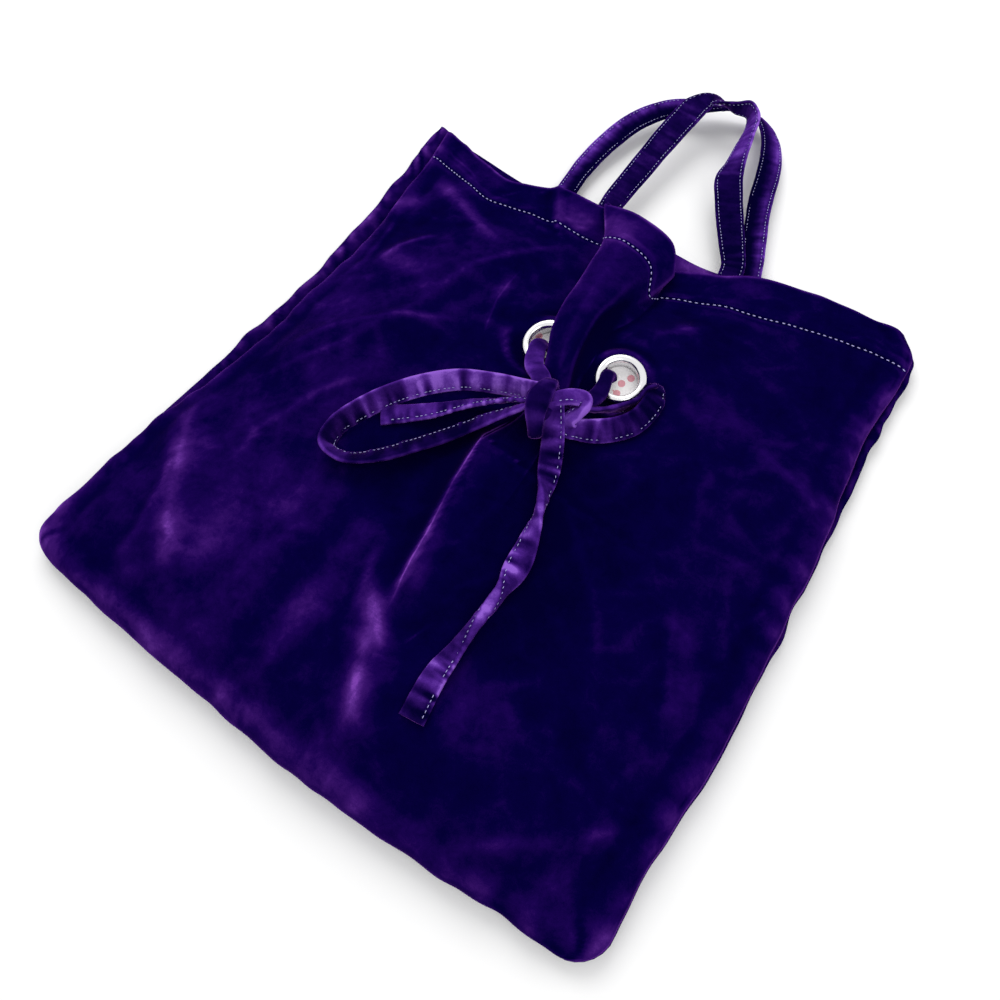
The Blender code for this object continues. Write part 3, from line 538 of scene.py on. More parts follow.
def turned_over(points, rows, radius, depth, steps):
    """Adds the fold at the mouth and the hem's inner face to a grid whose last row is the mouth edge."""
    up = normals(points)
    edge, out = points[-1], points[-1] - points[-2]
    out = out / np.linalg.norm(out, axis=-1, keepdims=True)
    added = []
    for k in range(1, steps):
        angle = math.pi * k / steps
        added.append(edge + out * radius * math.sin(angle) - up[-1] * radius * (1 - math.cos(angle)))
    inner = [i for i in range(len(rows) - 1, -1, -1) if rows[i] >= HEIGHT - depth][::2]
    for i in inner:
        added.append(points[i] - up[i] * 2 * radius)
    return np.concatenate([points, np.array(added)])


print("hem", HEM, "m deep")

# %% [markdown]
# ## From points to cloth
#
# A sheet starts as Blender's own grid, whose points are then laid where the tables say. The lie of the
# pile, mixed with painted light and shade, goes into the mesh as an attribute, as do the painted sheen
# lines, which the material reads later. A Solidify modifier gives the cloth its thickness, and the
# eyelet holes are cut before that, so their edges are closed too.


# %% Grids, pieces and holes
def grid_mesh(points, nap=None, sheen_line=None):
    """A bmesh grid laid on an array of points, with the lie of its pile mixed with painted light and shade,
    and its painted sheen lines, as attributes.
    """
    count_rows, count_columns = points.shape[:2]
    bm = bmesh.new()
    lie_and_light = bm.verts.layers.float.new("nap")
    off = bm.verts.layers.float.new("crease_off")
    shine = bm.verts.layers.float.new("crease_shine")
    bmesh.ops.create_grid(bm, x_segments=count_columns - 1, y_segments=count_rows - 1, size=1.0)
    for v in bm.verts:
        j = round((v.co.x + 1) / 2 * (count_columns - 1))
        i = round((v.co.y + 1) / 2 * (count_rows - 1))
        v.co = points[i, j]
        v[lie_and_light] = 0.0 if nap is None else nap[i, j]
        v[off], v[shine] = (0.0, 0.0) if sheen_line is None else sheen_line[i, j]
    return bm


def piece(name, bm, looks):
    """Turns a bmesh into an object at the origin with smooth shading and the given materials."""
    mesh = bpy.data.meshes.new(name)
    bm.to_mesh(mesh)
    bm.free()
    for look in looks:
        mesh.materials.append(look)
    mesh.shade_smooth()
    made = bpy.data.objects.new(name, mesh)
    scene.collection.objects.link(made)
    return made


def thicken(made, thickness, offset):
    """Gives a sheet its thickness."""
    wall = made.modifiers.new("thickness", "SOLIDIFY")
    wall.thickness = thickness
    wall.offset = offset
    wall.use_even_offset = False
    return made


def from_axis(co, centre, outward):
    """A point's offset from an eyelet's axis, and its height along that axis."""
    offset = co - centre
    height = offset.dot(outward)
    return offset - outward * height, height


HOLE = 0.0102
HOLE_DEPTH = 0.004


def punch(bm):
    """Cuts the round holes of the eyelets and draws their edges to a circle."""
    for centre, outward in EYELETS.values():
        gone = []
        for face in bm.faces:
            flat, height = from_axis(face.calc_center_median(), centre, outward)
            if flat.length < HOLE and abs(height) < HOLE_DEPTH:
                gone.append(face)
        bmesh.ops.delete(bm, geom=gone, context="FACES")
        for vert in bm.verts:
            flat, height = from_axis(vert.co, centre, outward)
            if vert.is_boundary and flat.length < HOLE * 1.4 and abs(height) < HOLE_DEPTH:
                vert.co = centre + flat.normalized() * HOLE + outward * height


print("holes for eyelets:", len(EYELETS), "of", 2 * HOLE, "m")

# %% [markdown]
# ## Helpers for materials
#
# A material is a small graph of nodes. Wiring it node by node is slow to read, so one helper adds a
# node with all its inputs at once, and two more add the kinds that come up most: a noise that sits on
# the piece, and a sum.


# %% Material helpers
def principled(name):
    """A new material and its shader."""
    made = bpy.data.materials.new(name)
    made.use_nodes = True
    return made, made.node_tree, made.node_tree.nodes["Principled BSDF"]


def linked(tree, kind, into, **values):
    """Adds a node, sets its inputs, and wires the sockets given as pairs of node and output name."""
    node = tree.nodes.new(kind)
    for key, value in values.items():
        setattr(node, key, value)
    for socket, value in into.items():
        if isinstance(value, tuple) and hasattr(value[0], "outputs"):
            tree.links.new(value[0].outputs[value[1]], node.inputs[socket])
        else:
            node.inputs[socket].default_value = value
    return node


def calc(tree, operation, *values):
    """A Math node on numbers and on pairs of node and output name."""
    return linked(tree, "ShaderNodeMath", dict(enumerate(values)), operation=operation)


def grain(tree, scale, detail=2.0, roughness=0.5, distortion=0.0):
    """Noise that sits on the piece."""
    spot = linked(tree, "ShaderNodeTexCoord", {})
    values = {"Scale": scale, "Detail": detail, "Roughness": roughness, "Distortion": distortion}
    return linked(tree, "ShaderNodeTexNoise", {"Vector": (spot, "Object"), **values})


def mixed(tree, share, first, second):
    """A colour between two others."""
    node = linked(tree, "ShaderNodeMix", {0: share}, data_type="RGBA")
    node.inputs[6].default_value = (*first, 1)
    node.inputs[7].default_value = (*second, 1)
    return node


def colour_ramp(tree, value, rows):
    """Colours by a value, from rows of position and colour."""
    node = linked(tree, "ShaderNodeValToRGB", {"Fac": value})
    stops = node.color_ramp.elements
    for stop, (position, colour) in zip((stops[0], stops[1]), (rows[0], rows[-1])):
        stop.position = position
        stop.color = (*colour, 1)
    for position, colour in rows[1:-1]:
        stops.new(position).color = (*colour, 1)
    return node


print("material helpers ready")

# %% [markdown]
# ## Velvet
#
# Velvet is a short upright pile. It looks almost black where one sees into the pile and glows where the
# pile is seen from the side, on every fold's edge. Brushed patches are paler. The base colour is mixed
# from dark to bright by soft noise and by an attribute that each piece gets from its own folds and
# patches: it holds the lie of the pile mixed with painted sheen on crests and edges and painted shade in
# hollows. The glow at the edges is the shader's sheen, and a fine bump stands for the pile.


# %% Velvet
def velvet(name, shades_by_nap_and_light, glow, mottle_scale):
    """Velvet whose colour follows the pile attribute, which holds the lie of the pile mixed with painted
    light and shade, with clouds, mottling and a fine pile.
    """
    made, tree, shader = principled(name)
    cloud = grain(tree, 24.0, 4.0, 0.62, 0.6)
    crush = grain(tree, 44.0, 5.0, 0.60, 0.35)
    mottle = grain(tree, mottle_scale, 6.0, 0.74, 0.8)
    pile = grain(tree, 2600.0)
    # Base colour follows the pile attribute, which mixes the lie of the pile with painted light and painted
    # shade
    nap = linked(tree, "ShaderNodeAttribute", {}, attribute_name="nap")
    # Painted highlight: a fine pale sheen line along two sharp crests, added to the pile attribute
    off = linked(tree, "ShaderNodeAttribute", {}, attribute_name="crease_off")
    shine = linked(tree, "ShaderNodeAttribute", {}, attribute_name="crease_shine")
    square = calc(tree, "MULTIPLY", (off, "Fac"), (off, "Fac"))
    below = calc(tree, "MULTIPLY", (square, "Value"), -1.0)
    near = calc(tree, "EXPONENT", (below, "Value"))
    nap_and_sheen_line = calc(tree, "MULTIPLY_ADD", (near, "Value"), (shine, "Fac"), (nap, "Fac"))
    lively = calc(tree, "MULTIPLY", (crush, "Fac"), 2.0)
    soft = calc(tree, "MULTIPLY_ADD", (cloud, "Fac"), 0.45, -0.225)
    patchy = calc(tree, "MULTIPLY_ADD", (mottle, "Fac"), 0.32, -0.16)
    uneven = calc(tree, "ADD", (soft, "Value"), (patchy, "Value"))
    pile_and_light = calc(tree, "MULTIPLY_ADD", (nap_and_sheen_line, "Value"), (lively, "Value"), (uneven, "Value"))
    speck_and_light = calc(tree, "MULTIPLY_ADD", (pile, "Fac"), 0.18, (pile_and_light, "Value"))
    shades = colour_ramp(tree, (speck_and_light, "Value"), shades_by_nap_and_light)
    tree.links.new(shades.outputs["Color"], shader.inputs["Base Color"])
    dents = linked(tree, "ShaderNodeBump", {"Height": (crush, "Fac"), "Strength": 0.4, "Distance": 0.0015})
    bump = linked(tree, "ShaderNodeBump", {
        "Height": (pile, "Fac"),
        "Normal": (dents, "Normal"),
        "Strength": 0.3,
        "Distance": 0.0004,
    })
    tree.links.new(bump.outputs["Normal"], shader.inputs["Normal"])
    shader.inputs["Roughness"].default_value = 0.95
    shader.inputs["Specular IOR Level"].default_value = 0.0
    shader.inputs["Sheen Weight"].default_value = 1.0
    shader.inputs["Sheen Roughness"].default_value = 0.22
    shader.inputs["Sheen Tint"].default_value = (*glow, 1)
    return made


# Pile value, with its painted light, and colour, for the bag and for the straps, whose ramp is paler to
# paint in the light on their raised faces
DEEP = (
    (0.05, (0.0006, 0.0002, 0.020)),
    (0.26, (0.0016, 0.0003, 0.036)),
    (0.46, (0.010, 0.0012, 0.072)),
    (0.70, (0.040, 0.007, 0.135)),
    (0.87, (0.085, 0.020, 0.22)),
    (1.0, (0.17, 0.045, 0.36)),
)
PALE_AND_LIT = (
    (0.05, (0.0012, 0.0004, 0.022)),
    (0.26, (0.0065, 0.0012, 0.050)),
    (0.46, (0.024, 0.005, 0.105)),
    (0.68, (0.062, 0.014, 0.210)),
    (0.85, (0.125, 0.040, 0.34)),
    (1.0, (0.24, 0.095, 0.54)),
)
bag_velvet = velvet("bag_velvet", DEEP, (0.20, 0.045, 0.40), 190.0)
strap_velvet = velvet("strap_velvet", PALE_AND_LIT, (0.26, 0.08, 0.48), 420.0)
print("velvets:", bag_velvet.name, strap_velvet.name)

# %% [markdown]
# ## Lining, nickel and thread
#
# The lining is a smooth white cotton with a sparse small print, for which a Voronoi texture gives dots
# at uneven places. The eyelets are polished nickel whose fine handling marks change the roughness, not
# the colour. The thread is pale and twisted, so its shade changes every millimetre.


# %% Lining, nickel and thread
def plain_cloth(name, colour, print_colour):
    """Smooth white woven cloth with a sparse small print."""
    made, tree, shader = principled(name)
    spot = linked(tree, "ShaderNodeTexCoord", {})
    dot_places = {"Vector": (spot, "Object"), "Scale": 150.0, "Randomness": 0.9}
    dots = linked(tree, "ShaderNodeTexVoronoi", dot_places)
    inside = calc(tree, "LESS_THAN", (dots, "Distance"), 0.27)
    tone = mixed(tree, (inside, "Value"), colour, print_colour)
    tree.links.new(tone.outputs[2], shader.inputs["Base Color"])
    weave = grain(tree, 900.0)
    bump = linked(tree, "ShaderNodeBump", {"Height": (weave, "Fac"), "Strength": 0.2, "Distance": 0.0002})
    tree.links.new(bump.outputs["Normal"], shader.inputs["Normal"])
    shader.inputs["Roughness"].default_value = 0.75
    return made


def polished_nickel():
    """Bright metal with fine handling marks."""
    made, tree, shader = principled("polished_nickel")
    marks = grain(tree, 420.0, 4.0)
    rough = linked(tree, "ShaderNodeMapRange", {"Value": (marks, "Fac"), "To Min": 0.10, "To Max": 0.26})
    tree.links.new(rough.outputs["Result"], shader.inputs["Roughness"])
    shader.inputs["Base Color"].default_value = (0.80, 0.80, 0.82, 1)
    shader.inputs["Metallic"].default_value = 1.0
    return made


def sewing_thread():
    """Pale thread that is lighter and darker along its twist."""
    made, tree, shader = principled("sewing_thread")
    twist = grain(tree, 1500.0)
    shade = mixed(tree, (twist, "Fac"), (0.22, 0.19, 0.52), (0.56, 0.54, 0.88))
    tree.links.new(shade.outputs[2], shader.inputs["Base Color"])
    shader.inputs["Roughness"].default_value = 0.6
    return made


lining_cloth = plain_cloth("lining_cloth", (0.97, 0.95, 0.95), (0.80, 0.36, 0.42))
nickel = polished_nickel()
thread = sewing_thread()
print("materials:", [look.name for look in (lining_cloth, nickel, thread)])

# %% [markdown]
# ## Lie of the pile, with painted light and shade
#
# Patches of brushed pile are written as a table of places, reaches and strengths, because that is how a
# hand brushes velvet. The same table holds patches of painted light and painted shade: a pale band along
# the bottom edge that paints the sheen there, pale patches on lit slopes, and dark patches beside the
# ridge and in the middle. Crests of folds get painted sheen and hollows get painted shade. Two sharp
# crests have a fine painted highlight line, narrower than the grid's cells: there the mesh carries the
# distance from the line, and the material turns it into a line.

# %% Lie of the pile
# Across, along, reach across, reach along, slant and strength of each patch; the patches are partly brushed
# pile and partly painted light and painted shade
BRUSHED_AND_LIT = (
    (0.0198, 0.042, 0.0095, 0.023, -0.38, 0.38),
    (0.0245, 0.025, 0.0090, 0.010, 0.0, 0.12),
    (0.0122, 0.0606, 0.0046, 0.0110, -0.95, 0.38),
    (0.0115, 0.118, 0.0050, 0.034, -0.14, 0.17),
    (0.017, 0.084, 0.0050, 0.018, -0.30, 0.14),
    (-0.002, 0.074, 0.0022, 0.014, -0.30, 0.30),
    (-0.104, 0.060, 0.008, 0.030, -0.80, 0.32),
    (-0.069, 0.052, 0.013, 0.018, 0.0, 0.18),
    (-0.045, 0.035, 0.012, 0.018, 0.0, 0.14),
    (-0.057, 0.082, 0.024, 0.014, 0.0, 0.20),
    (-0.0145, 0.055, 0.0065, 0.034, 0.0, 0.20),
    (0.120, 0.210, 0.022, 0.010, -0.3, 0.10),
    (0.085, 0.217, 0.016, 0.010, 0.0, 0.03),
    (0.140, 0.180, 0.008, 0.020, 0.0, 0.02),
    (0.124, 0.112, 0.005, 0.026, -0.40, 0.16),
    (0.070, 0.052, 0.016, 0.016, 0.0, 0.18),
    (0.046, 0.060, 0.010, 0.014, 0.0, 0.12),
    (0.128, 0.038, 0.020, 0.008, 0.0, 0.07),
    (0.132, 0.014, 0.020, 0.010, 0.0, 0.16),
    (-0.020, 0.004, 0.110, 0.008, 0.0, 0.26),
    (-0.138, 0.014, 0.014, 0.016, 0.0, 0.28),
    (-0.096, 0.221, 0.014, 0.008, 0.5, 0.22),
    (-0.076, 0.205, 0.008, 0.016, 0.5, 0.16),
    (-0.100, 0.180, 0.014, 0.012, 0.0, 0.18),
    (-0.044, 0.226, 0.008, 0.026, 0.3, 0.16),
    (-0.096, 0.275, 0.011, 0.012, -2.07, 0.46),
    (-0.068, 0.263, 0.010, 0.012, 0.0, 0.14),
    (-0.125, 0.265, 0.008, 0.008, 0.0, 0.34),
    (-0.128, 0.222, 0.008, 0.014, 0.0, 0.12),
    (-0.0354, 0.298, 0.014, 0.012, 0.0, 0.34),
    (-0.0115, 0.290, 0.009, 0.012, 0.0, 0.34),
    (0.0057, 0.297, 0.008, 0.010, 0.0, 0.12),
    (-0.110, 0.306, 0.030, 0.010, 0.0, 0.12),
    (0.052, 0.304, 0.020, 0.006, 0.3, 0.18),
    (-0.090, 0.090, 0.070, 0.110, 0.0, 0.13),
    (-0.026, 0.122, 0.022, 0.030, 0.0, -0.16),
    (0.046, 0.125, 0.040, 0.062, 0.0, -0.20),
    (-0.030, 0.028, 0.012, 0.024, 0.0, -0.10),
    (0.0150, 0.228, 0.0055, 0.030, 0.0, -0.30),
)

# Which folds get a painted sheen line along their crests: half-width and strength of that painted highlight
SHEEN_LINE_FOLDS = {0: (0.0004, 0.26), 14: (0.0005, 0.12)}
# How strongly fold crests get painted sheen and their hollows painted shade
CREST_SHEEN_AND_HOLLOW_SHADE = 0.19


def shifted(points, axis, step):
    """A grid of points moved by some rows or columns, with its last ones repeated."""
    last = points.shape[axis] - 1
    return points.take(np.clip(np.arange(last + 1) + step, 0, last), axis=axis)


def crests(points, reach):
    """How sharply a grid of points bends: above zero along crests and below zero in hollows."""
    up = normals(points)
    bend = np.zeros(points.shape[:2])
    for axis in (0, 1):
        ahead = shifted(points, axis, reach)
        behind = shifted(points, axis, -reach)
        span = np.maximum(np.linalg.norm(ahead - behind, axis=-1) / 2, 1e-4)
        bend -= 2 * np.sum(((ahead + behind) / 2 - points) * up, axis=-1) / span**2
    return bend


def brushed_and_lit(points, patches, level):
    """The lie of the pile with painted light over a grid of points: an even level, patches of brushed pile
    and of painted light and shade, painted sheen on crests and painted shade in hollows.
    """
    x = points[..., 0] + CENTRE
    along = points[..., 1] + MIDDLE
    nap = np.full(x.shape, level)
    for px, pa, reach_x, reach_a, slant, strength in patches:
        off_a = along - pa
        off_x = x - px - slant * off_a
        nap += strength * np.exp(-((off_x / reach_x) ** 2) - (off_a / reach_a) ** 2)
    # Painted sheen on crests and painted shade in hollows
    return nap + CREST_SHEEN_AND_HOLLOW_SHADE * np.clip(crests(points, 2) / 110, -1.0, 2.0)


def sheen_lines(points):
    """Distance from the nearest crest with a painted sheen line, in half-widths of the line, and the line's
    strength.
    """
    x = points[..., 0] + CENTRE
    along = points[..., 1] + MIDDLE
    found = np.zeros((*x.shape, 2))
    for k, (half_width, strength) in SHEEN_LINE_FOLDS.items():
        away, share = from_crest(x, along, FOLDS[k][4])
        ends = ramp(share / 0.15) * ramp((1 - share) / 0.2)
        shine = strength * ends * (1 - ramp((np.abs(away) - 0.004) / 0.003))
        brighter = shine > found[..., 1]
        found[brighter] = np.stack([away / half_width, shine], axis=-1)[brighter]
    return found


print(len(BRUSHED_AND_LIT), "brushed patches,", len(SHEEN_LINE_FOLDS), "worn crests")

# %% [markdown]
# ## Sewing the front
#
# The front's hem is turned, its pile brushed with painted light and shade mixed in, and its eyelet holes
# cut.

# %% Front panel
FOLD_RADIUS = 0.0015
FOLD_STEPS = 6
CLOTH = 0.0014
FRONT_LEVEL = 0.14
front_points = turned_over(front_points, front_rows, FOLD_RADIUS, HEM, FOLD_STEPS)
bm = grid_mesh(front_points, brushed_and_lit(front_points, BRUSHED_AND_LIT, FRONT_LEVEL), sheen_lines(front_points))
punch(bm)
front = piece("velvet_front", bm, [bag_velvet])
thicken(front, CLOTH, -1.0)
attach(front, "bag")
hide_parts("front_panel")
print("front panel:", len(front.data.vertices), "points")

# %% [markdown]
# ## Back panel
#
# The back lies on the table. Its edges turn up, and along the upper sides it shows past the front as a
# narrow crinkled strip. Its hem is a raised band along the mouth.

# %% Back panel
# Across the bag, how far the back's mouth edge is drawn down
BACK_MOUTH = (
    (-0.155, -0.009),
    (-0.149, -0.008),
    (-0.116, -0.002),
    (-0.082, 0.004),
    (-0.040, 0.006),
    (0.010, 0.006),
    (0.030, 0.008),
    (0.054, 0.006),
    (0.100, 0.003),
    (0.150, 0.005),
)
# Patches on the back: brushed pile together with painted light and painted shade
BACK_BRUSHED_AND_LIT = (
    (0.0248, 0.3116, 0.016, 0.010, 0.0, 0.40),
    (0.0390, 0.3099, 0.012, 0.008, 0.0, 0.25),
    (-0.146, 0.250, 0.010, 0.050, 0.0, 0.08),
    (0.150, 0.245, 0.010, 0.060, 0.0, -0.26),
)
BACK_LEVEL = 0.24
BACK_FLOOR = 0.0015
BACK_HEM = 0.0012
CRINKLE = 0.0017
SWAY = 0.0026


def back_grid(rows, columns, side_rows=BACK_SIDES, inset=0.0):
    """Points of the back panel, crinkled where its upper sides show past the front."""
    rows = np.asarray(rows, float)
    left, right = sides(side_rows, rows)
    left = left + inset
    right = right - inset
    t = np.linspace(-1, 1, columns)
    t = 0.6 * np.sin(np.pi / 2 * t) + 0.4 * t
    middle = (left + right)[:, None] / 2
    half = (right - left)[:, None] / 2
    along = np.tile(rows[:, None], (1, columns))
    side_gap = half * (1 - np.tile(np.abs(t), (len(rows), 1)))
    edge = np.minimum(side_gap, along)
    shown = ramp((along - 0.09) / 0.07) * np.where(t < 0, 1.0, 0.6)
    sway = ripple(np.stack([np.sign(t) * 0.5 + 0 * along, along], axis=-1), 0.014, 4.4)
    x = middle + half * t + np.sign(t) * SWAY * sway * shown * np.exp(-side_gap / 0.010)
    crinkle = ripple(np.stack([x * 0.7, along + x * 0.4], axis=-1), 0.0085, 9.2) * np.exp(-side_gap / 0.016)
    z = BACK_FLOOR + UPTURN * (1 - ramp(edge / UPTURN_REACH))
    z = z + CRINKLE * np.abs(crinkle) * shown * ramp(edge / 0.002)
    z = z + BACK_HEM * ramp((along - (HEIGHT - HEM)) / 0.003)
    return place(x, along_edge(x, along, curve(BACK_MOUTH, x)[..., 0]), z)


back_points = back_grid(rows_along(12, 140, 20), 130)
bm = grid_mesh(back_points, brushed_and_lit(back_points, BACK_BRUSHED_AND_LIT, BACK_LEVEL))
back = piece("velvet_back", bm, [bag_velvet])
thicken(back, CLOTH, -1.0)
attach(back, "bag")
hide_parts("back_panel")
print("back panel:", len(back.data.vertices), "points")

# %% [markdown]
# ## Linings
#
# A white lining is sewn to each hem and hangs inside. It shows in the mouth and through the eyelets,
# where the slack of the back lining is bunched up close behind the holes.

# %% Linings
LINING = 0.0006
LINING_SLACK = 0.35
LINING_GAP = np.array([0, 0, 0.0042])
# Place across and along, reach across and along, and height of each bunch of the back lining
BUNCHES = ((0.043, 0.006, 0.012, 0.013, 0.0160), (-0.004, 0.0, 0.010, 0.012, 0.009))
lining_rows = np.arange(0.024, HEIGHT - HEM + 0.006, 0.003)
bm = grid_mesh(front_grid(lining_rows, (30, 30, 30), LINING_SLACK, 0.007) - LINING_GAP)
punch(bm)
lining_front = piece("lining_front", bm, [lining_cloth])
thicken(lining_front, LINING, -1.0)
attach(lining_front, "bag")
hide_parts("front_lining")

lining_points = back_grid(lining_rows, 90, FRONT_SIDES, 0.010)
lining_points[..., 2] += 0.0008
for bunch_x, bunch_y, reach_x, reach_y, height in BUNCHES:
    off_x = (lining_points[..., 0] - bunch_x) / reach_x
    off_y = (lining_points[..., 1] - bunch_y) / reach_y
    lining_points[..., 2] += height * np.exp(-(off_x**2) - off_y**2)
lining_back = piece("lining_back", grid_mesh(lining_points), [lining_cloth])
thicken(lining_back, LINING, 1.0)
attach(lining_back, "bag")
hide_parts("back_lining")
print("linings:", len(lining_front.data.vertices), "and", len(lining_back.data.vertices), "points")

# %% [markdown]
# ## Eyelets
#
# An eyelet is a turned part: a domed flange, a barrel through the cloth and a lip rolled over a washer.
# Its profile is drawn once and spun round the axis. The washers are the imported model's own.

# %% Eyelets
OUTER = 0.0123
BORE = 0.0082
DOME = 0.0024
DOME_STEPS = 14
# Radius and height of the barrel and its rolled lip, below the flange
BARREL = (
    (BORE, -0.0052),
    (0.0092, -0.0058),
    (0.0105, -0.0055),
    (0.0105, -0.0048),
    (0.0092, -0.0048),
    (0.0092, 0.0004),
)


def spun(bm, profile, centre, outward, steps):
    """Spins a closed profile of radius and height round an eyelet's axis."""
    turn = outward.to_track_quat("Z", "Y").to_matrix().to_4x4()
    turn.translation = centre
    ring = [bm.verts.new((r, 0, z)) for r, z in profile]
    edges = [bm.edges.new((ring[k], ring[(k + 1) % len(ring)])) for k in range(len(ring))]
    full = 2 * math.pi
    bmesh.ops.spin(
        bm, geom=ring + edges, axis=(0, 0, 1), cent=(0, 0, 0), angle=full, steps=steps, use_merge=True
    )
    bmesh.ops.recalc_face_normals(bm, faces=bm.faces)
    bmesh.ops.transform(bm, matrix=turn, verts=bm.verts)


flange = []
for k in range(DOME_STEPS + 1):
    angle = math.pi * k / DOME_STEPS
    r = (OUTER + BORE) / 2 + (OUTER - BORE) / 2 * math.cos(angle)
    flange.append((r, 0.0004 + DOME * math.sin(angle) ** 0.75))
for side, (centre, outward) in EYELETS.items():
    bm = bmesh.new()
    spun(bm, [*flange, *BARREL], centre, outward, 72)
    ring = piece(f"eyelet_{side}", bm, [nickel])
    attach(ring, "bag")
    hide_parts(f"{side}_eyelet")
    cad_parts[f"{side}_washer"].data.materials.clear()
    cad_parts[f"{side}_washer"].data.materials.append(nickel)
print("eyelets spun")

# %% [markdown]
# ## Straps
#
# The tie and the handles are narrow velvet tubes, pressed flat and topstitched. A strap is a ring of
# points carried along a smooth curve: thick in its middle, pinched along its stitching and a little
# puckered by it. Each row of a route gives a place, a turn about the strap's own line, a share of the
# width and a nap value, which also holds painted light on lit stretches and painted shade on shaded ones.
# Level is zero, and a strap on its edge is a right angle.


# %% Strap's line
def lengths(points):
    """Distance walked along a line of points, at each of them."""
    return np.concatenate([[0], np.cumsum(np.linalg.norm(np.diff(points, axis=0), axis=1))])


def sampled(route, spacing):
    """Rows along a smooth curve through a route, evenly spaced."""
    rows = np.array(route, float)
    steps = lengths(rows[:, :3])
    fine = curve(np.hstack([steps[:, None], rows]), np.linspace(0, steps[-1], 600))
    walked = lengths(fine[:, :3])
    count = max(int(walked[-1] / spacing), 8)
    even = np.linspace(0, walked[-1], count + 1)
    return np.stack([np.interp(even, walked, fine[:, k]) for k in range(fine.shape[1])], axis=1), even


def strap_frames(route, spacing):
    """Centres, directions, width directions and upward directions along a strap."""
    rows, walked = sampled(route, spacing)
    centres = rows[:, :3]
    forward = np.gradient(centres, axis=0)
    forward /= np.linalg.norm(forward, axis=1, keepdims=True)
    level = np.cross(forward, [0, 0, 1.0])
    level /= np.maximum(np.linalg.norm(level, axis=1, keepdims=True), 1e-9)
    turn = np.radians(rows[:, 3])[:, None]
    side = level * np.cos(turn) + np.cross(level, forward) * np.sin(turn)
    up = np.cross(side, forward)
    return centres, forward, side, up, rows[:, 4], rows[:, 5], walked


print("strap lines ready")

# %% [markdown]
# ## Stitches and straps
#
# Each stitch is a small long bead, because a line painted on the strap would not catch the light. Beads
# are repeated hundreds of times, so each is a coarse icosphere of 20 faces.

# %% Strap maker
RING = 24
SPACING = 0.0007
# Distance of the stitching from the edge, and a stitch's pitch, half length and radius
SEWN_IN = 0.0017
PITCH = 0.0022
STITCH = (0.00075, 0.00019)


def lay_stitch(bm, middle, direction, outward, half_length, radius):
    """One stitch: a small long bead of thread."""
    x = Vector(direction).normalized()
    z = Vector(outward)
    z = (z - x * z.dot(x)).normalized()
    turn = Matrix((x * half_length, z.cross(x) * radius, z * radius)).transposed().to_4x4()
    turn.translation = Vector(middle)
    made = bmesh.ops.create_icosphere(bm, subdivisions=1, radius=1.0, matrix=turn)
    for face in {f for v in made["verts"] for f in v.link_faces}:
        face.material_index = 1


def strap(name, route, width, thick, stitched, seed, ruche=1.0, half_light_half_shade=0.0):
    """A strap with its topstitching. Stitched lists the edges that are sewn: -1, 1 or both."""
    centres, forward, side, up, share, lie_and_light, walked = strap_frames(route, SPACING)
    angle = np.linspace(0, 2 * np.pi, RING + 1)
    across = np.sign(np.cos(angle)) * np.abs(np.cos(angle)) ** 0.6
    lift = np.sign(np.sin(angle)) * np.abs(np.sin(angle)) ** 0.75
    pucker = wave(walked, 0.0024, seed)
    swell = wave(walked, 0.013, seed + 2)
    half = width / 2 * share * (1 + 0.04 * swell)
    puff = thick / 2 * (1 + 1.1 * np.clip(0.8 - share, 0, 0.4) / 0.25)
    points = []
    nap = []
    for i in range(len(walked)):
        u = across * half[i]
        groove = sum(np.exp(-(((u - s * (half[i] - SEWN_IN)) / 0.0006) ** 2)) for s in stitched) + 0 * u
        near = sum(np.exp(-(((u - s * half[i]) / 0.006) ** 2)) for s in stitched) + 0 * u
        dent = ripple(np.stack([walked[i] + 0 * u, 0.5 * u + 0.002 * lift], axis=-1), 0.0046, seed + 5)
        # Painted sheen: a thin pale line along both edges of the strap
        rim_sheen = np.exp(-(((half[i] - np.abs(u)) / 0.0006) ** 2))
        gathered = ruche * np.clip(2.5 * share[i] - 1.35, 0.15, 1)
        creased_and_lit = gathered * (0.50 * pucker[i] * near + 0.36 * dent)
        raised = lift * (puff[i] * (1 + creased_and_lit + 0.10 * swell[i]) - 0.0003 * groove)
        points.append(centres[i] + side[i] * u[:, None] + up[i] * raised[:, None])
        # Painted light on one half of the strap's width and painted shade on the other
        tone = half_light_half_shade * np.sign(u) * ramp(np.abs(u) / 0.002)
        # The row's value plus painted light: paler raised puckers and swells, the pale edge lines, and
        # painted shade along the stitch groove
        nap.append(lie_and_light[i] + 1.1 * creased_and_lit + 0.12 * swell[i] + 0.24 * rim_sheen - 0.06 * groove + tone)
    bm = grid_mesh(np.array(points), np.array(nap))
    bmesh.ops.remove_doubles(bm, verts=bm.verts, dist=1e-6)
    bmesh.ops.holes_fill(bm, edges=[e for e in bm.edges if e.is_boundary], sides=0)
    bmesh.ops.recalc_face_normals(bm, faces=bm.faces)
    for at in np.arange(0.002, walked[-1] - 0.002, PITCH):
        i = int(np.searchsorted(walked, at))
        for s in stitched:
            for face in (-1, 1):
                sunk = 0.00040 + 0.00022 * swell[i] * s
                middle = centres[i] + side[i] * s * (half[i] - SEWN_IN) + up[i] * face * (puff[i] - sunk)
                lay_stitch(bm, middle, forward[i], up[i] * face, *STITCH)
    made = piece(name, bm, [strap_velvet, thread])
    return made, centres, walked[-1]


print("strap maker ready")

# %% [markdown]
# ## Bow's routes
#
# The tie runs from the knot through one eyelet, across inside the bag and out through the other. Its
# two ends are tied in a bow: a long loop and a short tail to the left, a short loop and a long tail to
# the right. The straps lie on the front, so their rows give a lift above it, found by looking straight
# down at it.

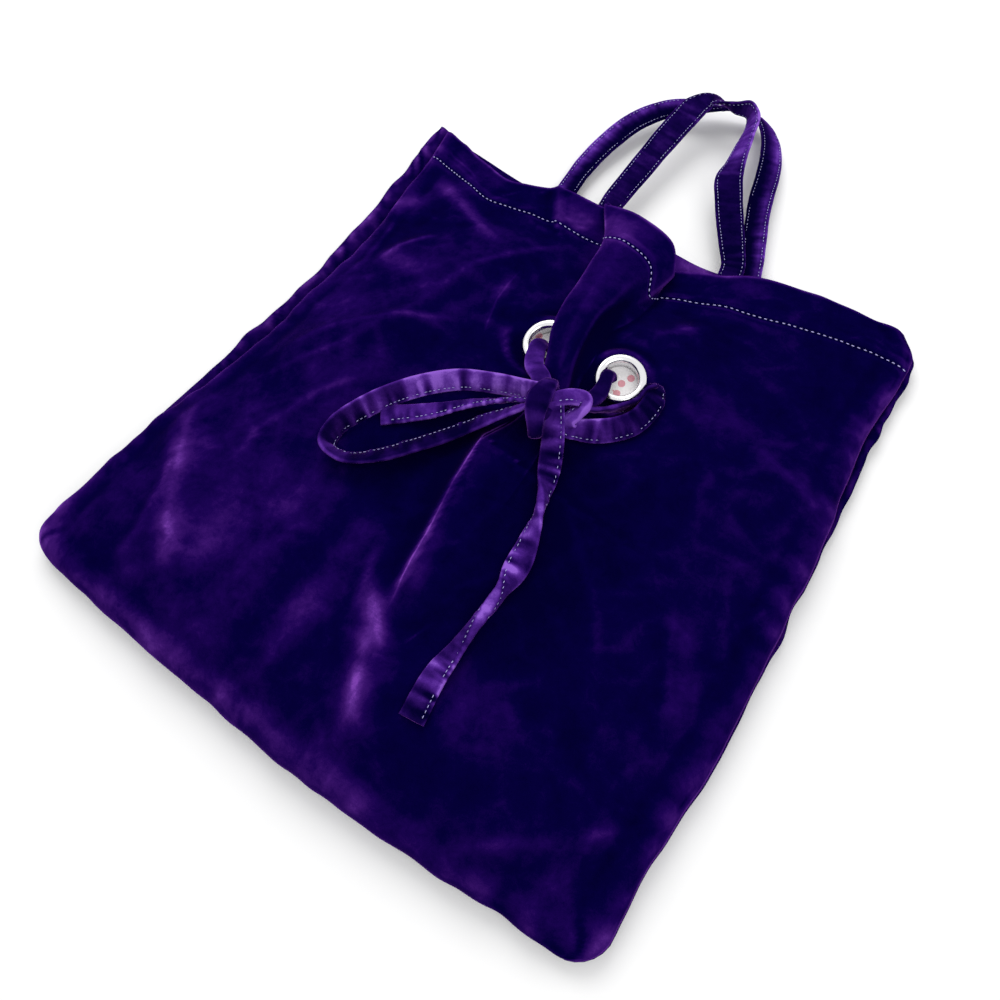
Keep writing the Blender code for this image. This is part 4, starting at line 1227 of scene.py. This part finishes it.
# %% Bow's routes
TIE_WIDTH = 0.011
STRAP_THICK = 0.0024
front_faces = BVHTree.FromBMesh(grid_mesh(front_points))


def resting(route, width):
    """Turns each row's lift into a height: zero rests the strap's lower edge on the front panel."""
    rows = []
    for x, y, lift, turn, share, nap in route:
        spot = front_faces.ray_cast(Vector((x, y, 0.2)), Vector((0, 0, -1)))[0]
        tilt = math.radians(turn)
        stand = abs(math.sin(tilt)) * width / 2 * share + abs(math.cos(tilt)) * STRAP_THICK / 2
        rows.append((x, y, spot.z + stand + 0.0004 + lift, turn, share, nap))
    return rows


# Across, along, lift, turn, share of the width and nap, with painted light and shade in the nap
LEFT_LOOP = (
    (0.0150, -0.0338, 0.0075, 60, 0.80, 0.40),
    (0.0056, -0.0315, 0.0040, 55, 0.85, 0.55),
    (-0.0090, -0.0335, 0.0010, 48, 0.90, 0.62),
    (-0.0240, -0.0397, 0.0000, 45, 0.92, 0.64),
    (-0.0363, -0.0505, 0.0000, 45, 0.92, 0.62),
    (-0.0463, -0.0640, 0.0000, 50, 0.95, 0.52),
    (-0.0534, -0.0783, 0.0000, 58, 1, 0.34),
    (-0.0570, -0.0915, 0.0000, 66, 1, 0.26),
    (-0.0544, -0.1005, 0.0000, 60, 1, 0.26),
    (-0.0442, -0.1014, 0.0000, 44, 1, 0.16),
    (-0.0326, -0.0930, 0.0000, 32, 1, 0.10),
    (-0.0221, -0.0807, 0.0000, 28, 1, 0.08),
    (-0.0113, -0.0661, 0.0006, 26, 0.95, 0.10),
    (0.0015, -0.0524, 0.0030, 30, 0.82, 0.18),
    (0.0150, -0.0410, 0.0080, 50, 0.80, 0.30),
)
LEFT_TAIL = (
    (0.0180, -0.0370, 0.0070, -30, 0.80, 0.20),
    (0.0110, -0.0385, 0.0058, -46, 0.80, 0.20),
    (-0.0016, -0.0424, 0.0026, -50, 0.80, 0.26),
    (-0.0128, -0.0487, 0.0010, -38, 0.84, 0.36),
    (-0.0280, -0.0609, 0.0004, -14, 0.90, 0.48),
    (-0.0456, -0.0738, 0.0000, 0, 0.95, 0.50),
)
# The first bunched fold of the right loop hangs over the knot: height instead of lift
RIGHT_START = (
    (0.0223, -0.0365, 0.0450, -8, 0.62, 0.46),
    (0.0262, -0.0328, 0.0464, -12, 0.64, 0.54),
    (0.0305, -0.0301, 0.0466, -16, 0.66, 0.60),
    (0.0345, -0.0290, 0.0458, -36, 0.66, 0.60),
    (0.0358, -0.0315, 0.0444, -44, 0.66, 0.54),
    (0.0341, -0.0350, 0.0428, -18, 0.72, 0.56),
    (0.0324, -0.0384, 0.0408, -20, 0.74, 0.58),
    (0.0332, -0.0402, 0.0382, -44, 0.80, 0.54),
    (0.0366, -0.0378, 0.0362, -50, 0.90, 0.46),
)
RIGHT_LOOP = (
    (0.0424, -0.0330, 0.0006, -46, 1, 0.40),
    (0.0490, -0.0262, 0.0000, -40, 1, 0.30),
    (0.0542, -0.0180, 0.0000, -36, 1, 0.10),
    (0.0562, -0.0090, 0.0000, -34, 1, 0.02),
    (0.0550, 0.0000, 0.0000, -34, 1, -0.02),
    (0.0524, 0.0050, 0.0000, -50, 1, -0.02),
    (0.0504, 0.0010, 0.0000, -72, 1, 0.04),
    (0.0490, -0.0080, 0.0000, -78, 0.95, 0.06),
    (0.0446, -0.0165, 0.0008, -70, 0.90, 0.18),
    (0.0372, -0.0240, 0.0030, -60, 0.85, 0.22),
    (0.0270, -0.0310, 0.0080, -50, 0.80, 0.30),
)
RIGHT_TAIL = (
    (0.0240, -0.0362, 0.0140, 10, 0.72, 0.56),
    (0.0268, -0.0408, 0.0110, 5, 0.80, 0.44),
    (0.0312, -0.0495, 0.0050, 0, 0.92, 0.30),
    (0.0366, -0.0615, 0.0010, 22, 0.90, 0.28),
    (0.0416, -0.0745, 0.0000, 78, 0.62, 0.44),
    (0.0450, -0.0860, 0.0000, 138, 0.80, 0.44),
    (0.0474, -0.0978, 0.0000, 170, 0.98, 0.48),
    (0.0486, -0.1080, 0.0000, 205, 0.90, 0.50),
    (0.0487, -0.1190, 0.0000, 252, 0.52, 0.50),
    (0.0478, -0.1310, 0.0000, 300, 0.54, 0.48),
    (0.0465, -0.1450, 0.0000, 334, 0.78, 0.42),
    (0.0457, -0.1572, 0.0000, 350, 0.94, 0.30),
    (0.0478, -0.1765, 0.0000, 360, 1, 0.20),
)
print("bow of", len(LEFT_LOOP), "and", len(RIGHT_START) + len(RIGHT_LOOP), "rows in its loops")

# %% [markdown]
# ## Bow
#
# Each loop and tail is its own piece, because the tails slide and the loops shrink when they are pulled.
# The loops go with the bag, and the tails keep their places baked into their points.


# %% Bow
def tie_piece(name, rows, stitched, seed, node, ruche=1.0):
    """A stretch of the tie, made as a strap in place of the given imported part."""
    made, centres, length = strap(name, rows, TIE_WIDTH, STRAP_THICK, stitched, seed, ruche)
    length = round(float(length), 3)
    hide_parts(node)
    print(name, round(length * 1000), "mm")
    return made


left_loop = tie_piece("bow_left_loop", resting(LEFT_LOOP, TIE_WIDTH), (-1,), 1.3, "tie_left_loop")
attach(left_loop, "bag")
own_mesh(left_loop)
right_rows = [*RIGHT_START, *resting(RIGHT_LOOP, TIE_WIDTH)]
right_loop = tie_piece("bow_right_loop", right_rows, (1,), 2.9, "tie_right_loop")
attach(right_loop, "bag")
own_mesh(right_loop)
left_tail = tie_piece("bow_left_tail", resting(LEFT_TAIL, TIE_WIDTH), (-1,), 4.1, "tie_left_tail")
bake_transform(left_tail)
tail_rows = resting(RIGHT_TAIL, TIE_WIDTH)
right_tail = tie_piece("bow_right_tail", tail_rows, (-1,), 5.7, "tie_right_tail", 1.4)
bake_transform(right_tail)

# %% [markdown]
# ## Lead and knot
#
# Between the knot and the eyelets the tie is drawn tight, so it is narrower there. Each leg goes down
# through its hole to a point below it, and the two points are joined inside the bag. The knot is a core
# with one turn of strap wrapped over it.

# %% Lead through the eyelets
# From the knot to the eyelet: place, turn, share of the width and nap, with painted light and shade in the
# nap
LEFT_LEG = (
    (0.0150, -0.0310, 0.0400, 0, 0.80, 0.35),
    (0.0085, -0.0229, 0.0365, 0, 0.80, 0.45),
    (0.0007, -0.0163, 0.0318, 0, 0.82, 0.55),
    (-0.0034, -0.0090, 0.0290, 0, 0.80, 0.55),
    (-0.0058, -0.0010, 0.0262, 0, 0.78, 0.35),
    (-0.0040, 0.0034, 0.0196, 0, 0.78, 0.20),
    (-0.0024, 0.0048, 0.0150, 0, 0.80, 0.20),
)
RIGHT_LEG = (
    (0.0234, -0.0310, 0.0410, 0, 0.80, 0.20),
    (0.0300, -0.0264, 0.0383, 0, 0.80, 0.12),
    (0.0333, -0.0200, 0.0345, 0, 0.76, 0.08),
    (0.0336, -0.0130, 0.0312, 0, 0.70, 0.06),
    (0.0322, -0.0062, 0.0288, 0, 0.60, 0.06),
    (0.0306, 0.0000, 0.0262, 0, 0.54, 0.04),
    (0.0304, 0.0034, 0.0212, 0, 0.54, 0.02),
    (0.0308, 0.0050, 0.0155, 0, 0.70, 0.02),
)
BELOW = 0.0105
INWARD = 0.008
lead_rows = []
for side, sign, leg in (("left", -1, LEFT_LEG), ("right", 1, RIGHT_LEG)):
    centre, outward = EYELETS[side]
    inside = centre - outward * BELOW - Vector((sign * INWARD, 0, 0))
    leg = leg + ((*inside, 0, 1.0, 0.2),)
    lead_rows += leg if sign < 0 else leg[::-1]
lead = tie_piece("tie_lead", lead_rows, (), 7.7, "tie_yoke")
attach(lead, "bag")

# %% Knot
KNOT = Vector((0.0190, -0.0362, 0.0405))
KNOT_HALF = (0.0092, 0.0092, 0.0066)
WRAP_CENTRE = KNOT + Vector((-0.0010, -0.0024, 0))
WRAP_RUN = Vector((0.12, -0.99, 0)) * 0.0112
WRAP_RISE = Vector((0, 0, 0.0074))
WRAP_BEND = 0.0032
wrap_rows = []
for degrees in range(-100, 101, 10):
    angle = math.radians(degrees)
    spot = WRAP_CENTRE + WRAP_RUN * math.sin(angle) + WRAP_RISE * math.cos(angle)
    spot.x += WRAP_BEND * max(0.0, math.sin(angle)) ** 2
    wrap_rows.append((*spot, 10 * math.sin(2 * angle), 0.64 + 0.36 * math.cos(angle) ** 2, 0.10))
wrap, _, wrap_length = strap("bow_wrap", wrap_rows, 0.0104, 0.0044, (), 17.0, 1.3)
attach(wrap, "bag")

bm = bmesh.new()
lie_and_light = bm.verts.layers.float.new("nap")
bmesh.ops.create_icosphere(bm, subdivisions=5, radius=1.0)
for v in bm.verts:
    v[lie_and_light] = 0.20
    v.co *= 1 + 0.10 * noise.noise(v.co * 2.3)
bmesh.ops.scale(bm, verts=bm.verts, vec=KNOT_HALF)
bmesh.ops.translate(bm, verts=bm.verts, vec=KNOT)
knot = piece("bow_knot", bm, [strap_velvet])
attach(knot, "bag")
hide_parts("tie_knot")
print("knot wrapped by", round(wrap_length * 1000), "mm of strap")

# %% [markdown]
# ## Handles
#
# Each handle is one strap whose two ends are sewn inside the mouth. Both edges are topstitched.

# %% Handles
# Place, turn, share of the width and nap, with painted light and shade in the nap
FRONT_HANDLE = (
    (-0.0292, 0.0800, 0.0098, 0, 1, 0.06),
    (-0.0294, 0.0920, 0.0097, 0, 1, 0.06),
    (-0.0298, 0.1035, 0.0106, 0, 1, 0.08),
    (-0.0297, 0.1110, 0.0114, -4, 1.08, 0.10),
    (-0.0282, 0.1375, 0.0140, -8, 1.18, 0.10),
    (-0.0266, 0.1610, 0.0165, -8, 1.25, 0.14),
    (-0.0246, 0.1811, 0.0185, -5, 1.32, 0.18),
    (-0.0226, 0.1935, 0.0196, 0, 1.32, 0.16),
    (-0.0175, 0.2005, 0.0205, 10, 1.20, 0.06),
    (-0.0100, 0.2012, 0.0205, 40, 1.08, 0.04),
    (-0.0030, 0.2018, 0.0200, 66, 1, 0.10),
    (0.0042, 0.2040, 0.0200, 88, 1, 0.30),
    (0.0092, 0.1985, 0.0195, 112, 1.05, 0.54),
    (0.0128, 0.1820, 0.0180, 130, 1.10, 0.58),
    (0.0150, 0.1678, 0.0168, 142, 1.15, 0.50),
    (0.0176, 0.1542, 0.0156, 170, 1.25, 0.22),
    (0.0232, 0.1431, 0.0145, 184, 1.30, 0.12),
    (0.0319, 0.1278, 0.0130, 184, 1.25, 0.06),
    (0.0399, 0.1145, 0.0118, 182, 1.15, 0.05),
    (0.0462, 0.1035, 0.0106, 180, 1.05, 0.06),
    (0.0480, 0.0900, 0.0097, 180, 1, 0.06),
    (0.0483, 0.0760, 0.0098, 180, 1, 0.06),
)
BACK_HANDLE = (
    (-0.0589, 0.0910, 0.0050, 0, 1, 0.12),
    (-0.0589, 0.1020, 0.0050, 0, 1, 0.10),
    (-0.0596, 0.1120, 0.0054, 0, 1, 0.10),
    (-0.0603, 0.1330, 0.0064, -2, 1.05, 0.20),
    (-0.0575, 0.1562, 0.0080, -6, 1.10, 0.26),
    (-0.0508, 0.1792, 0.0092, -10, 1.10, 0.24),
    (-0.0408, 0.1938, 0.0098, -10, 1.05, 0.20),
    (-0.0300, 0.2022, 0.0100, -6, 1, 0.16),
    (-0.0180, 0.2082, 0.0100, 20, 1, 0.14),
    (-0.0065, 0.2128, 0.0100, 40, 1, 0.14),
    (0.0021, 0.2145, 0.0100, 42, 1, 0.20),
    (0.0104, 0.2118, 0.0100, 38, 1.05, 0.30),
    (0.0201, 0.2027, 0.0097, 30, 1.12, 0.36),
    (0.0285, 0.1873, 0.0090, 20, 1.15, 0.30),
    (0.0330, 0.1735, 0.0083, 8, 1.12, 0.16),
    (0.0366, 0.1590, 0.0076, -8, 1.10, 0.08),
    (0.0422, 0.1417, 0.0068, -18, 1.08, 0.06),
    (0.0480, 0.1268, 0.0060, -14, 1.04, 0.06),
    (0.0535, 0.1122, 0.0054, -4, 1, 0.06),
    (0.0564, 0.1020, 0.0050, 0, 1, 0.06),
    (0.0580, 0.0910, 0.0050, 0, 1, 0.06),
)
HANDLE_WIDTH = 0.012
# Name, route, place of the swing line along the bag, seed, and how much painted light makes one half paler
# and painted shade the other darker
HANDLES = (
    ("front_handle", FRONT_HANDLE, 0.1046, 11.0, 0.0),
    ("back_handle", BACK_HANDLE, 0.1127, 13.0, -0.30),
)
for name, route, line, seed, half_light_half_shade in HANDLES:
    made, _, length = strap(
        f"strap_{name}", route, HANDLE_WIDTH, STRAP_THICK, (-1, 1), seed, 0.45, half_light_half_shade
    )
    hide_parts(name, name.replace("handle", "left_tab"), name.replace("handle", "right_tab"))
    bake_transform(made)
    print(name, round(length * 1000), "mm")

# %% [markdown]
# ## Hem stitching
#
# A line of pale thread holds the front's turned hem, 24 mm from the mouth.

# %% Hem stitching
HEM_PITCH = 0.0029
HEM_STITCH = (0.0009, 0.00031)
sewn_at = HEIGHT - HEM
hem_grid = front_grid(np.array([sewn_at - 0.0005, sewn_at, sewn_at + 0.0005]), (260, 200, 260))
hem_up = normals(hem_grid)[1]
hem_line = hem_grid[1]
steps = lengths(hem_line)
bm = bmesh.new()
for at in np.arange(0.004, steps[-1] - 0.004, HEM_PITCH):
    i = min(int(np.searchsorted(steps, at)), len(steps) - 2)
    direction = hem_line[i + 1] - hem_line[i - 1]
    lay_stitch(bm, hem_line[i] + hem_up[i] * 0.0001, direction, hem_up[i], *HEM_STITCH)
for face in bm.faces:
    face.material_index = 0
front_stitches = piece("front_hem_stitches", bm, [thread])
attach(front_stitches, "bag")
print("hem stitches", round(steps[-1] * 1000), "mm")

# %% [markdown]
# ## Floor and light
#
# A pale floor and a wide soft light from behind the left side, with an even sky, leave the velvet dark
# where one looks into it and pale along its edges.

# %% Floor and light
bm = bmesh.new()
bmesh.ops.create_grid(bm, x_segments=1, y_segments=1, size=4.0)
floor_look, _, floor_shader = principled("floor_paper")
floor_shader.inputs["Base Color"].default_value = (0.9, 0.9, 0.9, 1)
floor_shader.inputs["Roughness"].default_value = 0.9
floor = piece("floor", bm, [floor_look])

world = bpy.data.worlds.new("sky")
scene.world = world
world.use_nodes = True
sky = world.node_tree.nodes["Background"]
sky.inputs["Color"].default_value = (1, 1, 1, 1)
tree = world.node_tree
rays = linked(tree, "ShaderNodeLightPath", {})
seen = calc(tree, "ADD", (rays, "Is Camera Ray"), (rays, "Is Glossy Ray"))
seen = calc(tree, "ADD", (seen, "Value"), (rays, "Is Transmission Ray"))
bright = linked(tree, "ShaderNodeMapRange", {"Value": (seen, "Value"), "To Min": 0.72, "To Max": 1.0})
tree.links.new(bright.outputs["Result"], sky.inputs["Strength"])


def soft_light(name, location, size, power):
    """A round lamp that faces the middle of the bag."""
    lamp = bpy.data.lights.new(name, "AREA")
    lamp.shape = "DISK"
    lamp.size = size
    lamp.energy = power
    made = bpy.data.objects.new(name, lamp)
    made.location = location
    made.rotation_euler = (-Vector(location)).to_track_quat("-Z", "Y").to_euler()
    scene.collection.objects.link(made)


soft_light("key", (-0.6, 0.7, 1.0), 1.1, 10.5)
soft_light("fill", (0.8, -0.4, 0.9), 0.9, 4.0)
scene.view_settings.view_transform = "Standard"
